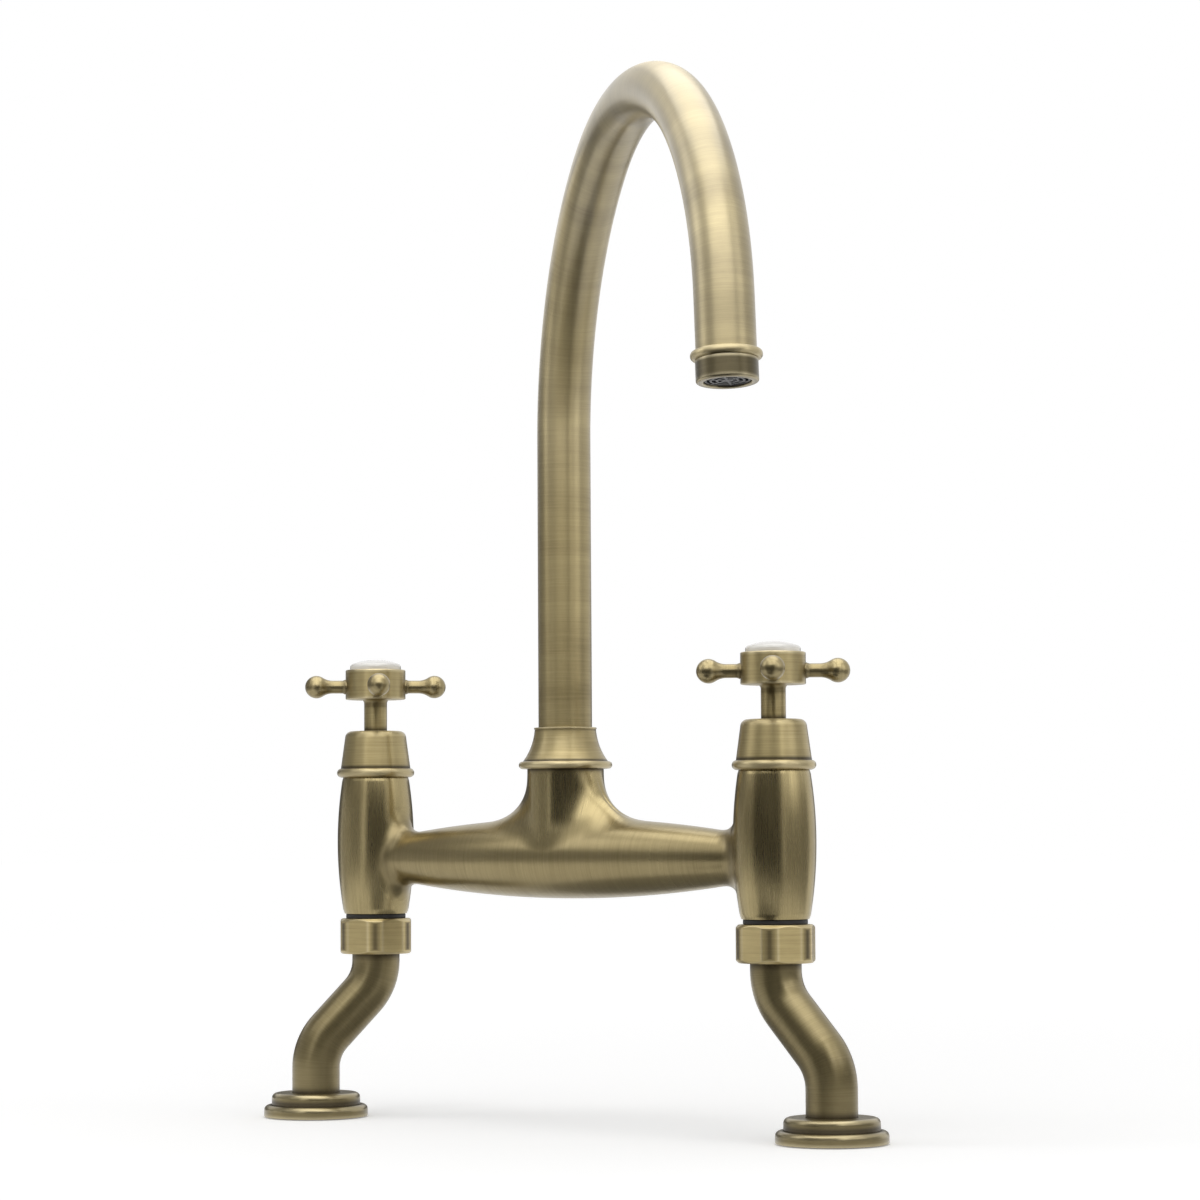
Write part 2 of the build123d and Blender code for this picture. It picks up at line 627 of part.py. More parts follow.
def handle_arm(number):
    """Arm with a tenon, a slim neck and a ball end, turned along its own axis."""
    root = ARM_ROOT_DIAMETER / 2
    neck = ARM_NECK_DIAMETER / 2
    ball = ARM_BALL_DIAMETER / 2
    tenon = ARM_TENON_DIAMETER / 2
    start = HUB_DIAMETER / 2 - ARM_SEAT_DEPTH
    tip = ARM_SPAN / 2
    centre = tip - ball
    # the cove is an arc that touches both the neck and the ball
    reach = sqrt((ball + ARM_COVE) ** 2 - (neck + ARM_COVE) ** 2)
    touch = ball / (ball + ARM_COVE)
    meet = ((neck + ARM_COVE) * touch, centre - reach * touch)
    neck_end = (neck, centre - reach)
    back = Polyline(
        (0, tip),
        (0, start - ARM_TENON_LENGTH),
        (tenon, start - ARM_TENON_LENGTH),
        (tenon, start),
        (root, start),
        (root, start + ARM_SEAT_DEPTH),
        (neck, start + ARM_SEAT_DEPTH + ARM_ROOT_TAPER),
        neck_end,
    )
    cove_arc = RadiusArc(neck_end, meet, ARM_COVE)
    ball_arc = ThreePointArc(meet, (ball, centre), (0, tip))
    return arm_place(number) * turned(back, cove_arc, ball_arc)


def index_cap():
    """Ceramic button in the top of the hub, with a round shoulder and a shallow dome."""
    radius = CAP_DIAMETER / 2
    base = hub_top - CAP_SEAT_DEPTH
    rim = hub_top + CAP_RIM
    apex = hub_top + CAP_DOME
    # the shoulder's arc and the dome's arc touch each other
    inset = radius - CAP_SHOULDER
    rise = apex - rim
    sphere = (inset**2 + rise**2 - CAP_SHOULDER**2) / (2 * (rise - CAP_SHOULDER))
    share = sphere / (sphere - CAP_SHOULDER)
    meet = (inset * share, apex - sphere + (sphere - rise) * share)
    shoulder = TangentArc((radius, rim), meet, tangent=(0, 1))
    dome = TangentArc((0, apex), meet, tangent=(1, 0))
    return turned(shoulder, dome, Polyline((0, apex), (0, base), (radius, base), (radius, rim)))


def handle_screw():
    """Slotted screw that holds the handle on its spindle."""
    head_top = screw_seat + SCREW_HEAD_HEIGHT
    screw = rod(SCREW_DIAMETER, screw_seat - SCREW_LENGTH, screw_seat)
    screw += rod(SCREW_HEAD_DIAMETER, screw_seat, head_top)
    slot = Box(SCREW_HEAD_DIAMETER, SCREW_SLOT_WIDTH, SCREW_SLOT_DEPTH, align=UNDER_TOP)
    return screw - Pos(0, 0, head_top) * slot


# Spout seat


def spout_collar():
    """Bell-shaped ring nut that holds the spout on the stub, with a bead round its base."""
    base = collar_base_diameter / 2
    middle = stub_thread / 2 + COLLAR_MIDDLE_WALL
    top = TUBE_DIAMETER / 2 + COLLAR_TOP_WALL
    bead_top = collar_base + COLLAR_BEAD_HEIGHT
    bead_side = Polyline((stub_thread / 2, collar_base), (base, collar_base))
    crest = (base + COLLAR_BEAD_STEP, (collar_base + bead_top) / 2)
    bead_arc = ThreePointArc((base, collar_base), crest, (base, bead_top))
    flare = ThreePointArc(
        bead_arc @ 1,
        (middle, collar_base + COLLAR_MIDDLE_HEIGHT),
        (top, collar_top - COLLAR_LIP),
    )
    rest = Polyline(
        flare @ 1,
        (top, collar_top),
        (0, collar_top),
        (0, collar_base),
        bead_side @ 0,
    )
    blank = turned(bead_side, bead_arc, flare, rest)
    lip_base = spigot_shoulder + SLIP_RING_THICKNESS
    blank -= rod(stub_thread + 2 * THREAD_GAP, collar_base, lip_base)
    return blank - rod(TUBE_DIAMETER + 2 * FREE_GAP, lip_base, collar_top)


def spout_spigot():
    """Turned end brazed into the riser: it turns in the stub and carries two rings."""
    base = bridge_axis + SPIGOT_SEAT_RISE + SPIGOT_FLOOR_GAP
    plug_top = spigot_shoulder + SPIGOT_PLUG_LENGTH
    plug = TUBE_DIAMETER - 2 * TUBE_WALL - 2 * RING_GAP
    body = rod(spigot_diameter, base, stub_top)
    body += rod(spigot_flange, stub_top, spigot_shoulder)
    body += rod(plug, spigot_shoulder, plug_top)
    body -= rod(spigot_bore, base, plug_top)
    for height in spout_ring_heights():
        body -= ring_groove(spigot_diameter, SPOUT_RING_SECTION, height)
    return body


def spout_ring_heights():
    """Heights of the two rings, about the middle of the spigot's seat."""
    middle = (bridge_axis + SPIGOT_SEAT_RISE + SPIGOT_FLOOR_GAP + stub_top) / 2
    return (middle - SPOUT_RING_SPACING / 2, middle + SPOUT_RING_SPACING / 2)


def spout_rings():
    """Two rubber rings on the spigot."""
    inner = spigot_diameter - 2 * SPOUT_RING_SECTION + 2 * RING_GAP
    return [round_ring(inner, SPOUT_RING_SECTION - RING_GAP, height) for height in spout_ring_heights()]


def slip_ring():
    """Plastic ring between the spigot's flange and the collar's lip."""
    top = spigot_shoulder + SLIP_RING_THICKNESS
    return ring(spigot_flange, TUBE_DIAMETER + 2 * FREE_GAP, spigot_shoulder, top)


# Spout, drawn in the plane of X and Z with the outlet towards +X


def spout_path():
    """Centre line of the tube: up the riser, over the three bends and down the end run."""
    edges = [Line((0, spigot_shoulder), (0, collar_top + RISER_SHOWING))]
    for radius, turn in zip(BEND_RADII, BEND_TURNS):
        edges.append(JernArc(edges[-1] @ 1, edges[-1] % 1, radius, -turn))
    edges.append(Line(edges[-1] @ 1, edges[-1] @ 1 + (edges[-1] % 1) * TUBE_END_RUN))
    return Plane.XZ * Wire(edges)


def spout_tube():
    """Swan-neck tube."""
    return swept_tube(spout_path(), TUBE_DIAMETER, TUBE_DIAMETER - 2 * TUBE_WALL)


def outlet_place():
    """Place of the pieces at the outlet, which are drawn along -Z from the tube's end."""
    path = spout_path()
    return Plane(path @ 1, x_dir=(0, 1, 0), z_dir=(path % 1) * -1)


thread_end = -FERRULE_BEAD_HEIGHT - FERRULE_THREAD_LENGTH
washer_end = thread_end - AERATOR_WASHER_THICKNESS
insert_step = washer_end - INSERT_FLANGE_THICKNESS
aerator_end = -FERRULE_BEAD_HEIGHT - AERATOR_LENGTH
insert_end = aerator_end + INSERT_RECESS
insert_plate_top = insert_step + INSERT_PLATE


def outlet_ferrule():
    """Beaded ring on the tube's end, with a plug inside the tube and a thread for the aerator."""
    bead = TUBE_DIAMETER / 2 + FERRULE_BEAD_STEP
    plug = TUBE_DIAMETER / 2 - TUBE_WALL - RING_GAP
    return lathe(
        (ferrule_bore / 2, FERRULE_PLUG_LENGTH),
        (plug, FERRULE_PLUG_LENGTH),
        (plug, 0),
        (bead, 0, FERRULE_ROUNDING),
        (bead, -FERRULE_BEAD_HEIGHT, FERRULE_ROUNDING),
        (ferrule_thread / 2, -FERRULE_BEAD_HEIGHT),
        (ferrule_thread / 2, thread_end),
        (ferrule_bore / 2, thread_end),
    )


def aerator_housing():
    """Round case screwed on the ferrule, with a lip that holds the insert."""
    thread = ferrule_thread / 2 + THREAD_GAP
    side = TUBE_DIAMETER / 2 + AERATOR_STEP
    return lathe(
        (thread, -FERRULE_BEAD_HEIGHT),
        (side, -FERRULE_BEAD_HEIGHT),
        (side, aerator_end, AERATOR_ROUNDING),
        (aerator_mouth / 2, aerator_end, AERATOR_ROUNDING / 2),
        (aerator_mouth / 2, insert_step),
        (thread, insert_step),
    )


def aerator_washer():
    """Rubber ring between the ferrule's thread and the insert."""
    return ring(ferrule_thread - RING_GAP, ferrule_bore, washer_end, thread_end)


def aerator_insert():
    """Plastic insert: a flange, a cup through the lip, and rings on ribs across its mouth."""
    flange = ferrule_thread - RING_GAP
    wall = 2 * INSERT_RIB_WIDTH
    body = ring(flange, ferrule_bore, insert_step, washer_end)
    body += ring(insert_diameter, insert_diameter - wall, insert_end, insert_step)
    body += ring(insert_diameter, ferrule_bore - wall, insert_step, insert_plate_top)
    for diameter in INSERT_RING_DIAMETERS:
        body += ring(diameter, diameter - wall, insert_end, insert_plate_top)
    length = (insert_diameter - wall / 2) / 2
    height = insert_plate_top - insert_end
    rib = Box(length, INSERT_RIB_WIDTH, height, align=(Align.MIN, Align.CENTER, Align.MIN))
    for number in range(INSERT_RIBS):
        body += Pos(0, 0, insert_end) * Rot(0, 0, 360 / INSERT_RIBS * number) * rib
    return body


def aerator_screen():
    """Pierced steel disc that lies on the insert's ribs."""
    diameter = ferrule_bore - 2 * FREE_GAP
    top = insert_plate_top + SCREEN_THICKNESS
    screen = rod(diameter, insert_plate_top, top)
    hole = rod(SCREEN_HOLE, insert_plate_top, top)
    pitch = (diameter / 2 - SCREEN_HOLE) / SCREEN_RINGS
    for number in range(1, SCREEN_RINGS + 1):
        screen -= PolarLocations(pitch * number, SCREEN_FIRST_RING * number) * hole
    return screen


def set_on_barrel(side, shape):
    """Moves a piece that is drawn on its own axis to the barrel on one side."""
    half = BARREL_SPACING / 2
    return Pos(-half if side == "left" else half, 0, 0) * shape


def leg_turn(side):
    """Turn of a leg from +X to where it points."""
    return 180 + LEG_SWING["left"] if side == "left" else -LEG_SWING["right"]


ON_BARREL = {
    "union_seal": union_seal,
    "union_washer": union_washer,
    "valve_cartridge": cartridge,
    "seat_seal": seat_seal,
    "fixed_disc": fixed_disc,
    "valve_cover": valve_cover,
}
ON_LEG = {
    "leg": leg,
    "foot": foot,
    "deck_gasket": deck_gasket,
    "back_washer": back_washer,
    "back_nut": back_nut,
}
ON_HANDLE = {
    "spindle": spindle,
    "spindle_ring": spindle_ring,
    "spindle_clip": spindle_clip,
    "moving_disc": moving_disc,
    "handle_head": handle_head,
    "handle_screw": handle_screw,
    "index_cap": index_cap,
}
AT_OUTLET = {
    "outlet_ferrule": outlet_ferrule,
    "aerator_housing": aerator_housing,
    "aerator_washer": aerator_washer,
    "aerator_insert": aerator_insert,
    "aerator_screen": aerator_screen,
}


def tap():
    """Every piece of the tap by name, each in its place."""
    swing = Rot(0, 0, SPOUT_SWING - 90)
    pieces = {
        "bridge_body": bridge_body(),
        "spout_collar": spout_collar(),
        "spout_slip_ring": slip_ring(),
        "spout_spigot": spout_spigot(),
        "spout_rings": Compound(children=spout_rings()),
        "spout_tube": swing * spout_tube(),
    }
    outlet = outlet_place()
    for name, make in AT_OUTLET.items():
        pieces[name] = swing * (outlet * make())
    for side in ("left", "right"):
        for name, make in ON_BARREL.items():
            pieces[f"{side}_{name}"] = set_on_barrel(side, make())
        pieces[f"{side}_union_nut"] = set_on_barrel(side, Rot(0, 0, NUT_TURN[side]) * union_nut())
        for name, make in ON_LEG.items():
            pieces[f"{side}_{name}"] = set_on_barrel(side, Rot(0, 0, leg_turn(side)) * make())
        turn = Rot(0, 0, HANDLE_SWING[side] - 90)
        for name, make in ON_HANDLE.items():
            pieces[f"{side}_{name}"] = set_on_barrel(side, turn * make())
        for number in range(ARM_COUNT):
            name = f"{side}_handle_arm_{number + 1}"
            pieces[name] = set_on_barrel(side, turn * handle_arm(number))
    return pieces


os.makedirs("parts", exist_ok=True)
for node, shape in tap().items():
    export_step(shape, f"parts/{node}.step")
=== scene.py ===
import json

import bmesh
import bpy
import numpy as np
from mathutils import Matrix, Vector


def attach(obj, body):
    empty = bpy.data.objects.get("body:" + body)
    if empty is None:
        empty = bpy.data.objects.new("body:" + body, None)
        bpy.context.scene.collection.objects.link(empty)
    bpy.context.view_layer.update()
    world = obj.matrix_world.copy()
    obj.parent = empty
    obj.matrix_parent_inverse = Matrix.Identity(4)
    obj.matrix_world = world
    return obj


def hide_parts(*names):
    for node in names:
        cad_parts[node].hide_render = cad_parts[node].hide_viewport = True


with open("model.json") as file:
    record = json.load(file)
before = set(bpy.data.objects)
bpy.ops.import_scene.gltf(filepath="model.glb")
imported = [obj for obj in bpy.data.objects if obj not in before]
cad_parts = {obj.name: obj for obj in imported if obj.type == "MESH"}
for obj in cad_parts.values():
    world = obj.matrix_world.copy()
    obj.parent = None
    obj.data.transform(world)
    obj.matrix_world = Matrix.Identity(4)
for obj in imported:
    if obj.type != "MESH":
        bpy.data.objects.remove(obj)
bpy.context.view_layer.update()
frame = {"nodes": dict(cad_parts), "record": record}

# Sizes of the tap in mm, in the frame of the solids: the deck is z = 0 and -Y faces the user
MM = 0.001
BARREL_OFFSET = 105.0
LEG_TOP = 72.9
NUT_BASE, NUT_TOP = 68.4, 83.3
BARREL_BASE, BARREL_TOP = 85.4, 143.6
BRIDGE_AXIS = 109.0
STUB_RADIUS = 15.7
COLLAR_BASE = 145.6
COVER_TOP = 163.4
HUB_BASE, HUB_TOP = 177.0, 189.7
ARM_AXIS = HUB_BASE + 5.4
TUBE_START, RISER_TOP = 153.6, 281.1
TUBE_RADIUS, TUBE_WALL = 11.0, 1.5
TUBE_BENDS = ((130.5, 53.5), (88.9, 78.9), (108.7, 42.2))
TUBE_END_RUN = 19.5
LEG_OFFSET = 25.8
LEG_RADIUS, LEG_BORE = 10.1, 7.0
LEG_BEND, LEG_SLOPE = 22.0, np.radians(43.0)
LEG_END = 2.0
FLANGE_RADIUS, FLANGE_TOP = 22.0, 4.9
STEP_RADIUS, STEP_TOP = 18.75, 9.9
TAIL_RADIUS, TAIL_LENGTH, TAIL_EASE = 10.48, 60.0, 1.2
THREAD_PITCH, THREAD_DEPTH = 1.814, 1.0

# Where the barrels stand, in metres, and how each piece is turned at rest
SIDES = {"left": -BARREL_OFFSET * MM, "right": BARREL_OFFSET * MM}
LEG_TURN = {"left": np.radians(230.9), "right": 0.0}
NUT_TURN = {"left": np.radians(11.0), "right": np.radians(-3.0)}
HANDLE_TURN = {"left": np.radians(-44.7), "right": np.radians(-54.9)}
SPOUT_TURN = np.radians(-34.3)

# Curves, written in mm and given in metres


def outline(*corners):
    """Chain of corners (radius, height, rounding).

    A rounded corner becomes the arc of that radius which touches both of its sides."""
    places = np.array([corner[:2] for corner in corners])
    runs = []
    for number, corner in enumerate(corners):
        if len(corner) < 3:
            runs.append(places[number][None])
            continue
        rounding = corner[2]
        before = places[number - 1] - places[number]
        after = places[(number + 1) % len(corners)] - places[number]
        before, after = before / np.hypot(*before), after / np.hypot(*after)
        half = np.arccos(np.clip(before @ after, -1, 1)) / 2
        middle = (before + after) / np.hypot(*(before + after))
        centre = places[number] + middle * rounding / np.sin(half)
        first = places[number] + before * rounding / np.tan(half) - centre
        last = places[number] + after * rounding / np.tan(half) - centre
        swing = np.pi - 2 * half
        t = np.linspace(0, 1, max(4, int(swing / 0.2)))[:, None]
        runs.append(centre + (np.sin((1 - t) * swing) * first + np.sin(t * swing) * last) / np.sin(swing))
    return np.concatenate(runs) * MM


def arc_centre(start, crest, end):
    """Centre and radius, in mm, of the arc through three points: the centre is equally far from all three."""
    a, b, c = (np.array(point, float) for point in (start, crest, end))
    system = 2 * np.array([b - a, c - a])
    centre = np.linalg.solve(system, np.array([b @ b - a @ a, c @ c - a @ a]))
    return centre, np.hypot(*(a - centre))


def arc(start, crest, end, steps=14):
    """Arc through three points (radius, height): its centre plus its radius towards each angle."""
    centre, radius = arc_centre(start, crest, end)
    angles = np.unwrap([np.arctan2(*(np.array(point) - centre)[::-1]) for point in (start, crest, end)])
    t = np.linspace(angles[0], angles[2], steps)
    return (centre + radius * np.stack([np.cos(t), np.sin(t)], -1)) * MM


def bent_line(start, heading, parts, step=1.2):
    """Flat line of straight runs and tangent arcs, with its direction at each point.

    parts are (length, 0) for a run and (radius, turn) for an arc, turning right for a turn above 0."""
    place, angle = np.array(start, float), heading
    lines, headings = [], []
    for size, turn in parts:
        if turn == 0:
            t = np.linspace(0, size, max(2, int(size / step)))[:, None]
            lines.append(place + t * np.array([np.cos(angle), np.sin(angle)]))
            headings.append(np.full(len(t), angle))
        else:
            swing = angle - np.linspace(0, turn, max(6, int(abs(size * turn) / step)))
            reach = size * np.sign(turn)
            centre = place + reach * np.array([np.sin(angle), -np.cos(angle)])
            lines.append(centre + reach * np.stack([-np.sin(swing), np.cos(swing)], -1))
            headings.append(swing)
        place, angle = lines[-1][-1], headings[-1][-1]
    points, angles = np.concatenate(lines) * MM, np.concatenate(headings)
    keep = np.concatenate([[True], np.linalg.norm(np.diff(points, axis=0), axis=1) > 1e-7])
    points, angles = points[keep], angles[keep]
    return points, np.stack([np.cos(angles), np.sin(angles)], -1)


# Measures of a chain of points in metres


def along(points, closed):
    """Length run along a chain of points, from its first one."""
    chain = np.concatenate([points, points[:1]]) if closed else points
    return np.concatenate([[0.0], np.cumsum(np.linalg.norm(np.diff(chain, axis=0), axis=1))])


def refined(points, step, closed=True):
    """The chain with points added so that none lie further apart than a step, with every corner kept."""
    run = along(points, closed)
    chain = np.concatenate([points, points[:1]]) if closed else points
    wanted = np.union1d(run, np.arange(0, run[-1], step))
    wanted = wanted[np.concatenate([[True], np.diff(wanted) > 1e-7])]
    if closed:
        wanted = wanted[:-1]
    return np.stack([np.interp(wanted, run, chain[:, k]) for k in range(chain.shape[1])], -1)


def relief_of(profile, closed=True, reach=0.9 * MM):
    """How far a profile turns within a reach of each point: above 0 on edges, below 0 in grooves."""
    back = np.roll(profile, 1, 0) if closed else np.concatenate([profile[:1], profile[:-1]])
    ahead = np.roll(profile, -1, 0) if closed else np.concatenate([profile[1:], profile[-1:]])
    a, b = profile - back, ahead - profile
    turn = np.arctan2(a[:, 0] * b[:, 1] - a[:, 1] * b[:, 0], (a * b).sum(1))
    if not closed:
        turn[[0, -1]] = 0
    apart = np.linalg.norm(profile[:, None] - profile[None], axis=-1)
    return np.clip((np.exp(-((apart / reach) ** 2)) * turn[None]).sum(1), -1.5, 1.5)


# Darkening at joints: patina, together with painted shade where the parts meet
def darkened(relief, chain, places):
    """Relief lowered near places (radius, height, reach in mm), where patina gathers in a joint."""
    for r, z, reach in places:
        far = np.hypot(chain[..., 0] - r * MM, chain[..., 1] - z * MM) / (reach * MM)
        relief = relief - 1.1 * np.exp(-(far**2))
    return relief


# Surfaces, each a grid of points with its brush coordinates and relief


def surface(points, brush, relief=0.0, wrap=(False, True)):
    """One grid surface: rows by columns of points, closed or open each way."""
    relief = np.broadcast_to(np.asarray(relief, float), points.shape[:2])
    return {"points": points, "brush": np.broadcast_to(brush, points.shape), "relief": relief, "wrap": wrap}


def lathe(profile, columns=128, closed=True, step=0.8 * MM, axis=(0.0, 0.0), waves=None, dark=(), groove=1.0):
    """Turned surface: (radius cos a, radius sin a, height) for the profile's points and angles a.

    Its brush runs round it: the first two coordinates go round once, and the third is the length
    along the profile. waves, if given, adds to the radius from the angle, radius and height, and groove
    is the share of patina that stays in the profile's own grooves."""
    profile = refined(np.asarray(profile), step, closed)
    a = np.linspace(0, 2 * np.pi, columns, endpoint=False)[None]
    r, z = profile[:, :1], profile[:, 1:]
    radius = r + (waves(a, r, z) if waves else 0 * a)
    points = np.stack([axis[0] + radius * np.cos(a), axis[1] + radius * np.sin(a), z + 0 * a], -1)
    mean = max(float(r.mean()), 4 * MM)
    run = along(profile, closed)[: len(profile), None]
    brush = np.stack([mean * np.cos(a) + 0 * z, mean * np.sin(a) + 0 * z, run + 0 * a], -1)
    # Grooves and listed joints darken (patina with painted shade), and edges rub lighter
    relief = relief_of(profile, closed)
    relief = darkened(np.where(relief < 0, groove * relief, relief), profile, dark)
    return surface(points, brush, relief[:, None], (closed, True))


def sweep(line, tangents, radii, columns=96, dark=()):
    """Round tube along a flat line in X and Z: centre + radius (cos a side + sin a Y).

    It is closed over both walls. line and tangents are the centre line's points and directions, radii the
    outer and inner radius in mm."""
    outer, inner = (radius * MM for radius in radii)
    a = np.linspace(0, 2 * np.pi, columns, endpoint=False)[None, :, None]
    centre = np.stack([line[:, 0], 0 * line[:, 0], line[:, 1]], -1)[:, None]
    side = np.stack([-tangents[:, 1], 0 * line[:, 0], tangents[:, 0]], -1)[:, None]
    around = np.cos(a) * side + np.sin(a) * np.array([0.0, 1.0, 0.0])
    points = np.concatenate([centre + outer * around, (centre + inner * around)[::-1]])
    run = np.broadcast_to(along(line, False)[:, None, None], (len(line), columns, 1))
    ring = np.broadcast_to(outer * np.concatenate([np.cos(a), np.sin(a)], -1), (len(line), columns, 2))
    brush = np.concatenate([ring, run], -1)
    relief = darkened(np.zeros(len(line)), line, dark)[:, None]
    relief = np.broadcast_to(np.concatenate([relief, relief[::-1]]), points.shape[:2])
    return surface(points[:, ::-1], np.concatenate([brush, brush[::-1]])[:, ::-1], relief, (True, True))


def moved(part, turn=0.0, shift=(0.0, 0.0, 0.0), basis=None):
    """The surface turned about Z, or by a basis of three columns, and then shifted."""
    c, s = np.cos(turn), np.sin(turn)
    spin = np.array([[c, -s, 0], [s, c, 0], [0, 0, 1]]) if basis is None else np.asarray(basis)
    return {**part, "points": part["points"] @ spin.T + np.asarray(shift)}


def grid_faces(rows, columns, wrap):
    """Corner numbers of a grid's quads, counted round each quad."""
    i = np.arange(rows if wrap[0] else rows - 1)
    j = np.arange(columns if wrap[1] else columns - 1)
    a, b = np.meshgrid(i, j, indexing="ij")
    a_next, b_next = (a + 1) % rows, (b + 1) % columns
    corners = [a * columns + b, a * columns + b_next, a_next * columns + b_next, a_next * columns + b]
    return np.stack(corners, -1).reshape(-1, 4)


def piece(name, body, material, surfaces, replaces=(), edge=38.0):
    """Puts surfaces into one smooth mesh, which rides on a body and stands for solids."""
    points, brush, relief, faces, count = [], [], [], [], 0
    for part in surfaces:
        rows, columns = part["points"].shape[:2]
        quads = grid_faces(rows, columns, part["wrap"])
        if "keep" in part:
            quads = quads[part["keep"].reshape(-1)[quads].any(1)]
        faces.append(quads + count)
        points.append(part["points"].reshape(-1, 3))
        brush.append(part["brush"].reshape(-1, 3))
        relief.append(part["relief"].reshape(-1))
        count += rows * columns
    mesh = bpy.data.meshes.new(name)
    mesh.from_pydata(np.concatenate(points), [], np.concatenate(faces))
    strokes = mesh.attributes.new("brush", "FLOAT_VECTOR", "POINT")
    strokes.data.foreach_set("vector", np.concatenate(brush).ravel())
    heights = mesh.attributes.new("relief", "FLOAT", "POINT")
    heights.data.foreach_set("value", np.concatenate(relief))
    work = bmesh.new()
    work.from_mesh(mesh)
    bmesh.ops.remove_doubles(work, verts=work.verts, dist=2e-7)
    bmesh.ops.delete(work, geom=[v for v in work.verts if not v.link_faces], context="VERTS")
    work.to_mesh(mesh)
    work.free()
    mesh.shade_smooth()
    mesh.set_sharp_from_angle(angle=np.radians(edge))
    thing = bpy.data.objects.new(name, mesh)
    bpy.context.scene.collection.objects.link(thing)
    mesh.materials.append(material)
    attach(thing, body)
    if replaces:
        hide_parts(*replaces)
    return thing


# Shader arithmetic


class Signal:
    """A node socket that takes part in arithmetic: each operator adds one Math node."""

    def __init__(self, tree, socket=None):
        self.tree, self.socket = tree, socket

    def node(self, kind, settings=None, sockets=None, out=None):
        """Any node by its type, with its settings set first and then its sockets' values or links.

        out names the output that is wanted, where it isn't the node's first."""
        made = self.tree.nodes.new("ShaderNode" + kind)
        for key, value in (settings or {}).items():
            setattr(made, key, value)
        for key, value in (sockets or {}).items():
            named = [s for s in made.inputs if s.enabled and key in (s.name, s.identifier)]
            target = made.inputs[key] if isinstance(key, int) else named[0]
            if isinstance(value, Signal):
                self.tree.links.new(value.socket, target)
            else:
                target.default_value = value
        outputs = [s for s in made.outputs if s.enabled and out in (None, s.name)]
        return Signal(self.tree, outputs[0])

    def _math(self, operation, first, second):
        return self.node("Math", {"operation": operation}, {0: first, 1: second})

    def __add__(self, other):
        return self._math("ADD", self, other)

    __radd__ = __add__

    def __sub__(self, other):
        return self._math("SUBTRACT", self, other)

    def __rsub__(self, other):
        return self._math("SUBTRACT", other, self)

    def __mul__(self, other):
        return self._math("MULTIPLY", self, other)

    __rmul__ = __mul__

    def __truediv__(self, other):
        return self._math("DIVIDE", self, other)

    def __rtruediv__(self, other):
        return self._math("DIVIDE", other, self)

    def least(self, other):
        """The lesser of two values."""
        return self._math("MINIMUM", self, other)

    def most(self, other):
        """The greater of two values."""
        return self._math("MAXIMUM", self, other)

    def held(self, low=0.0):
        """The value kept between a low one and 1."""
        return self.most(low).least(1.0)


def noise(start, where, stretch, detail=3.0, roughness=0.55):
    """Smooth noise of a place that is stretched differently each way."""
    scaled = start.node("VectorMath", {"operation": "MULTIPLY"}, {0: where, 1: stretch})
    sockets = {"Vector": scaled, "Scale": 1.0, "Detail": detail, "Roughness": roughness}
    return start.node("TexNoise", None, sockets)


def tint(start, share, low, high):
    """Colour between two, each written or worked out, by a share."""
    ends = {key: end if isinstance(end, Signal) else (*end, 1.0) for key, end in (("A", low), ("B", high))}
    return start.node("Mix", {"data_type": "RGBA"}, {"Factor": share, **ends})


def raised(start, height, depth):
    """Normal of a surface that this height lifts, at most by a depth in metres."""
    return start.node("Bump", None, {"Strength": 1.0, "Distance": depth, "Height": height})


def finish(name, build, **constants):
    """A material from constant values and from a function that gives what changes over the surface."""
    material = bpy.data.materials.new(name)
    material.use_nodes = True
    tree = material.node_tree
    shader = tree.nodes["Principled BSDF"]
    for key, value in constants.items():
        shader.inputs[key.replace("_", " ")].default_value = value
    for key, signal in build(Signal(tree)).items():
        tree.links.new(signal.socket, shader.inputs[key])
    return material


# Finishes

BRASS_LIGHT = np.array([0.42, 0.343, 0.172])
BRASS_DEEP = np.array([0.18, 0.139, 0.062])
# Dark colour of grooves and joints: patina together with painted shade
PATINA_AND_SHADE = np.array([0.060, 0.046, 0.026])
RUBBED = np.array([0.60, 0.52, 0.335])
# Coat weight at and below the lower sheen height; the thicker coat above is a painted sheen
LOW_SHEEN_COAT = 0.2


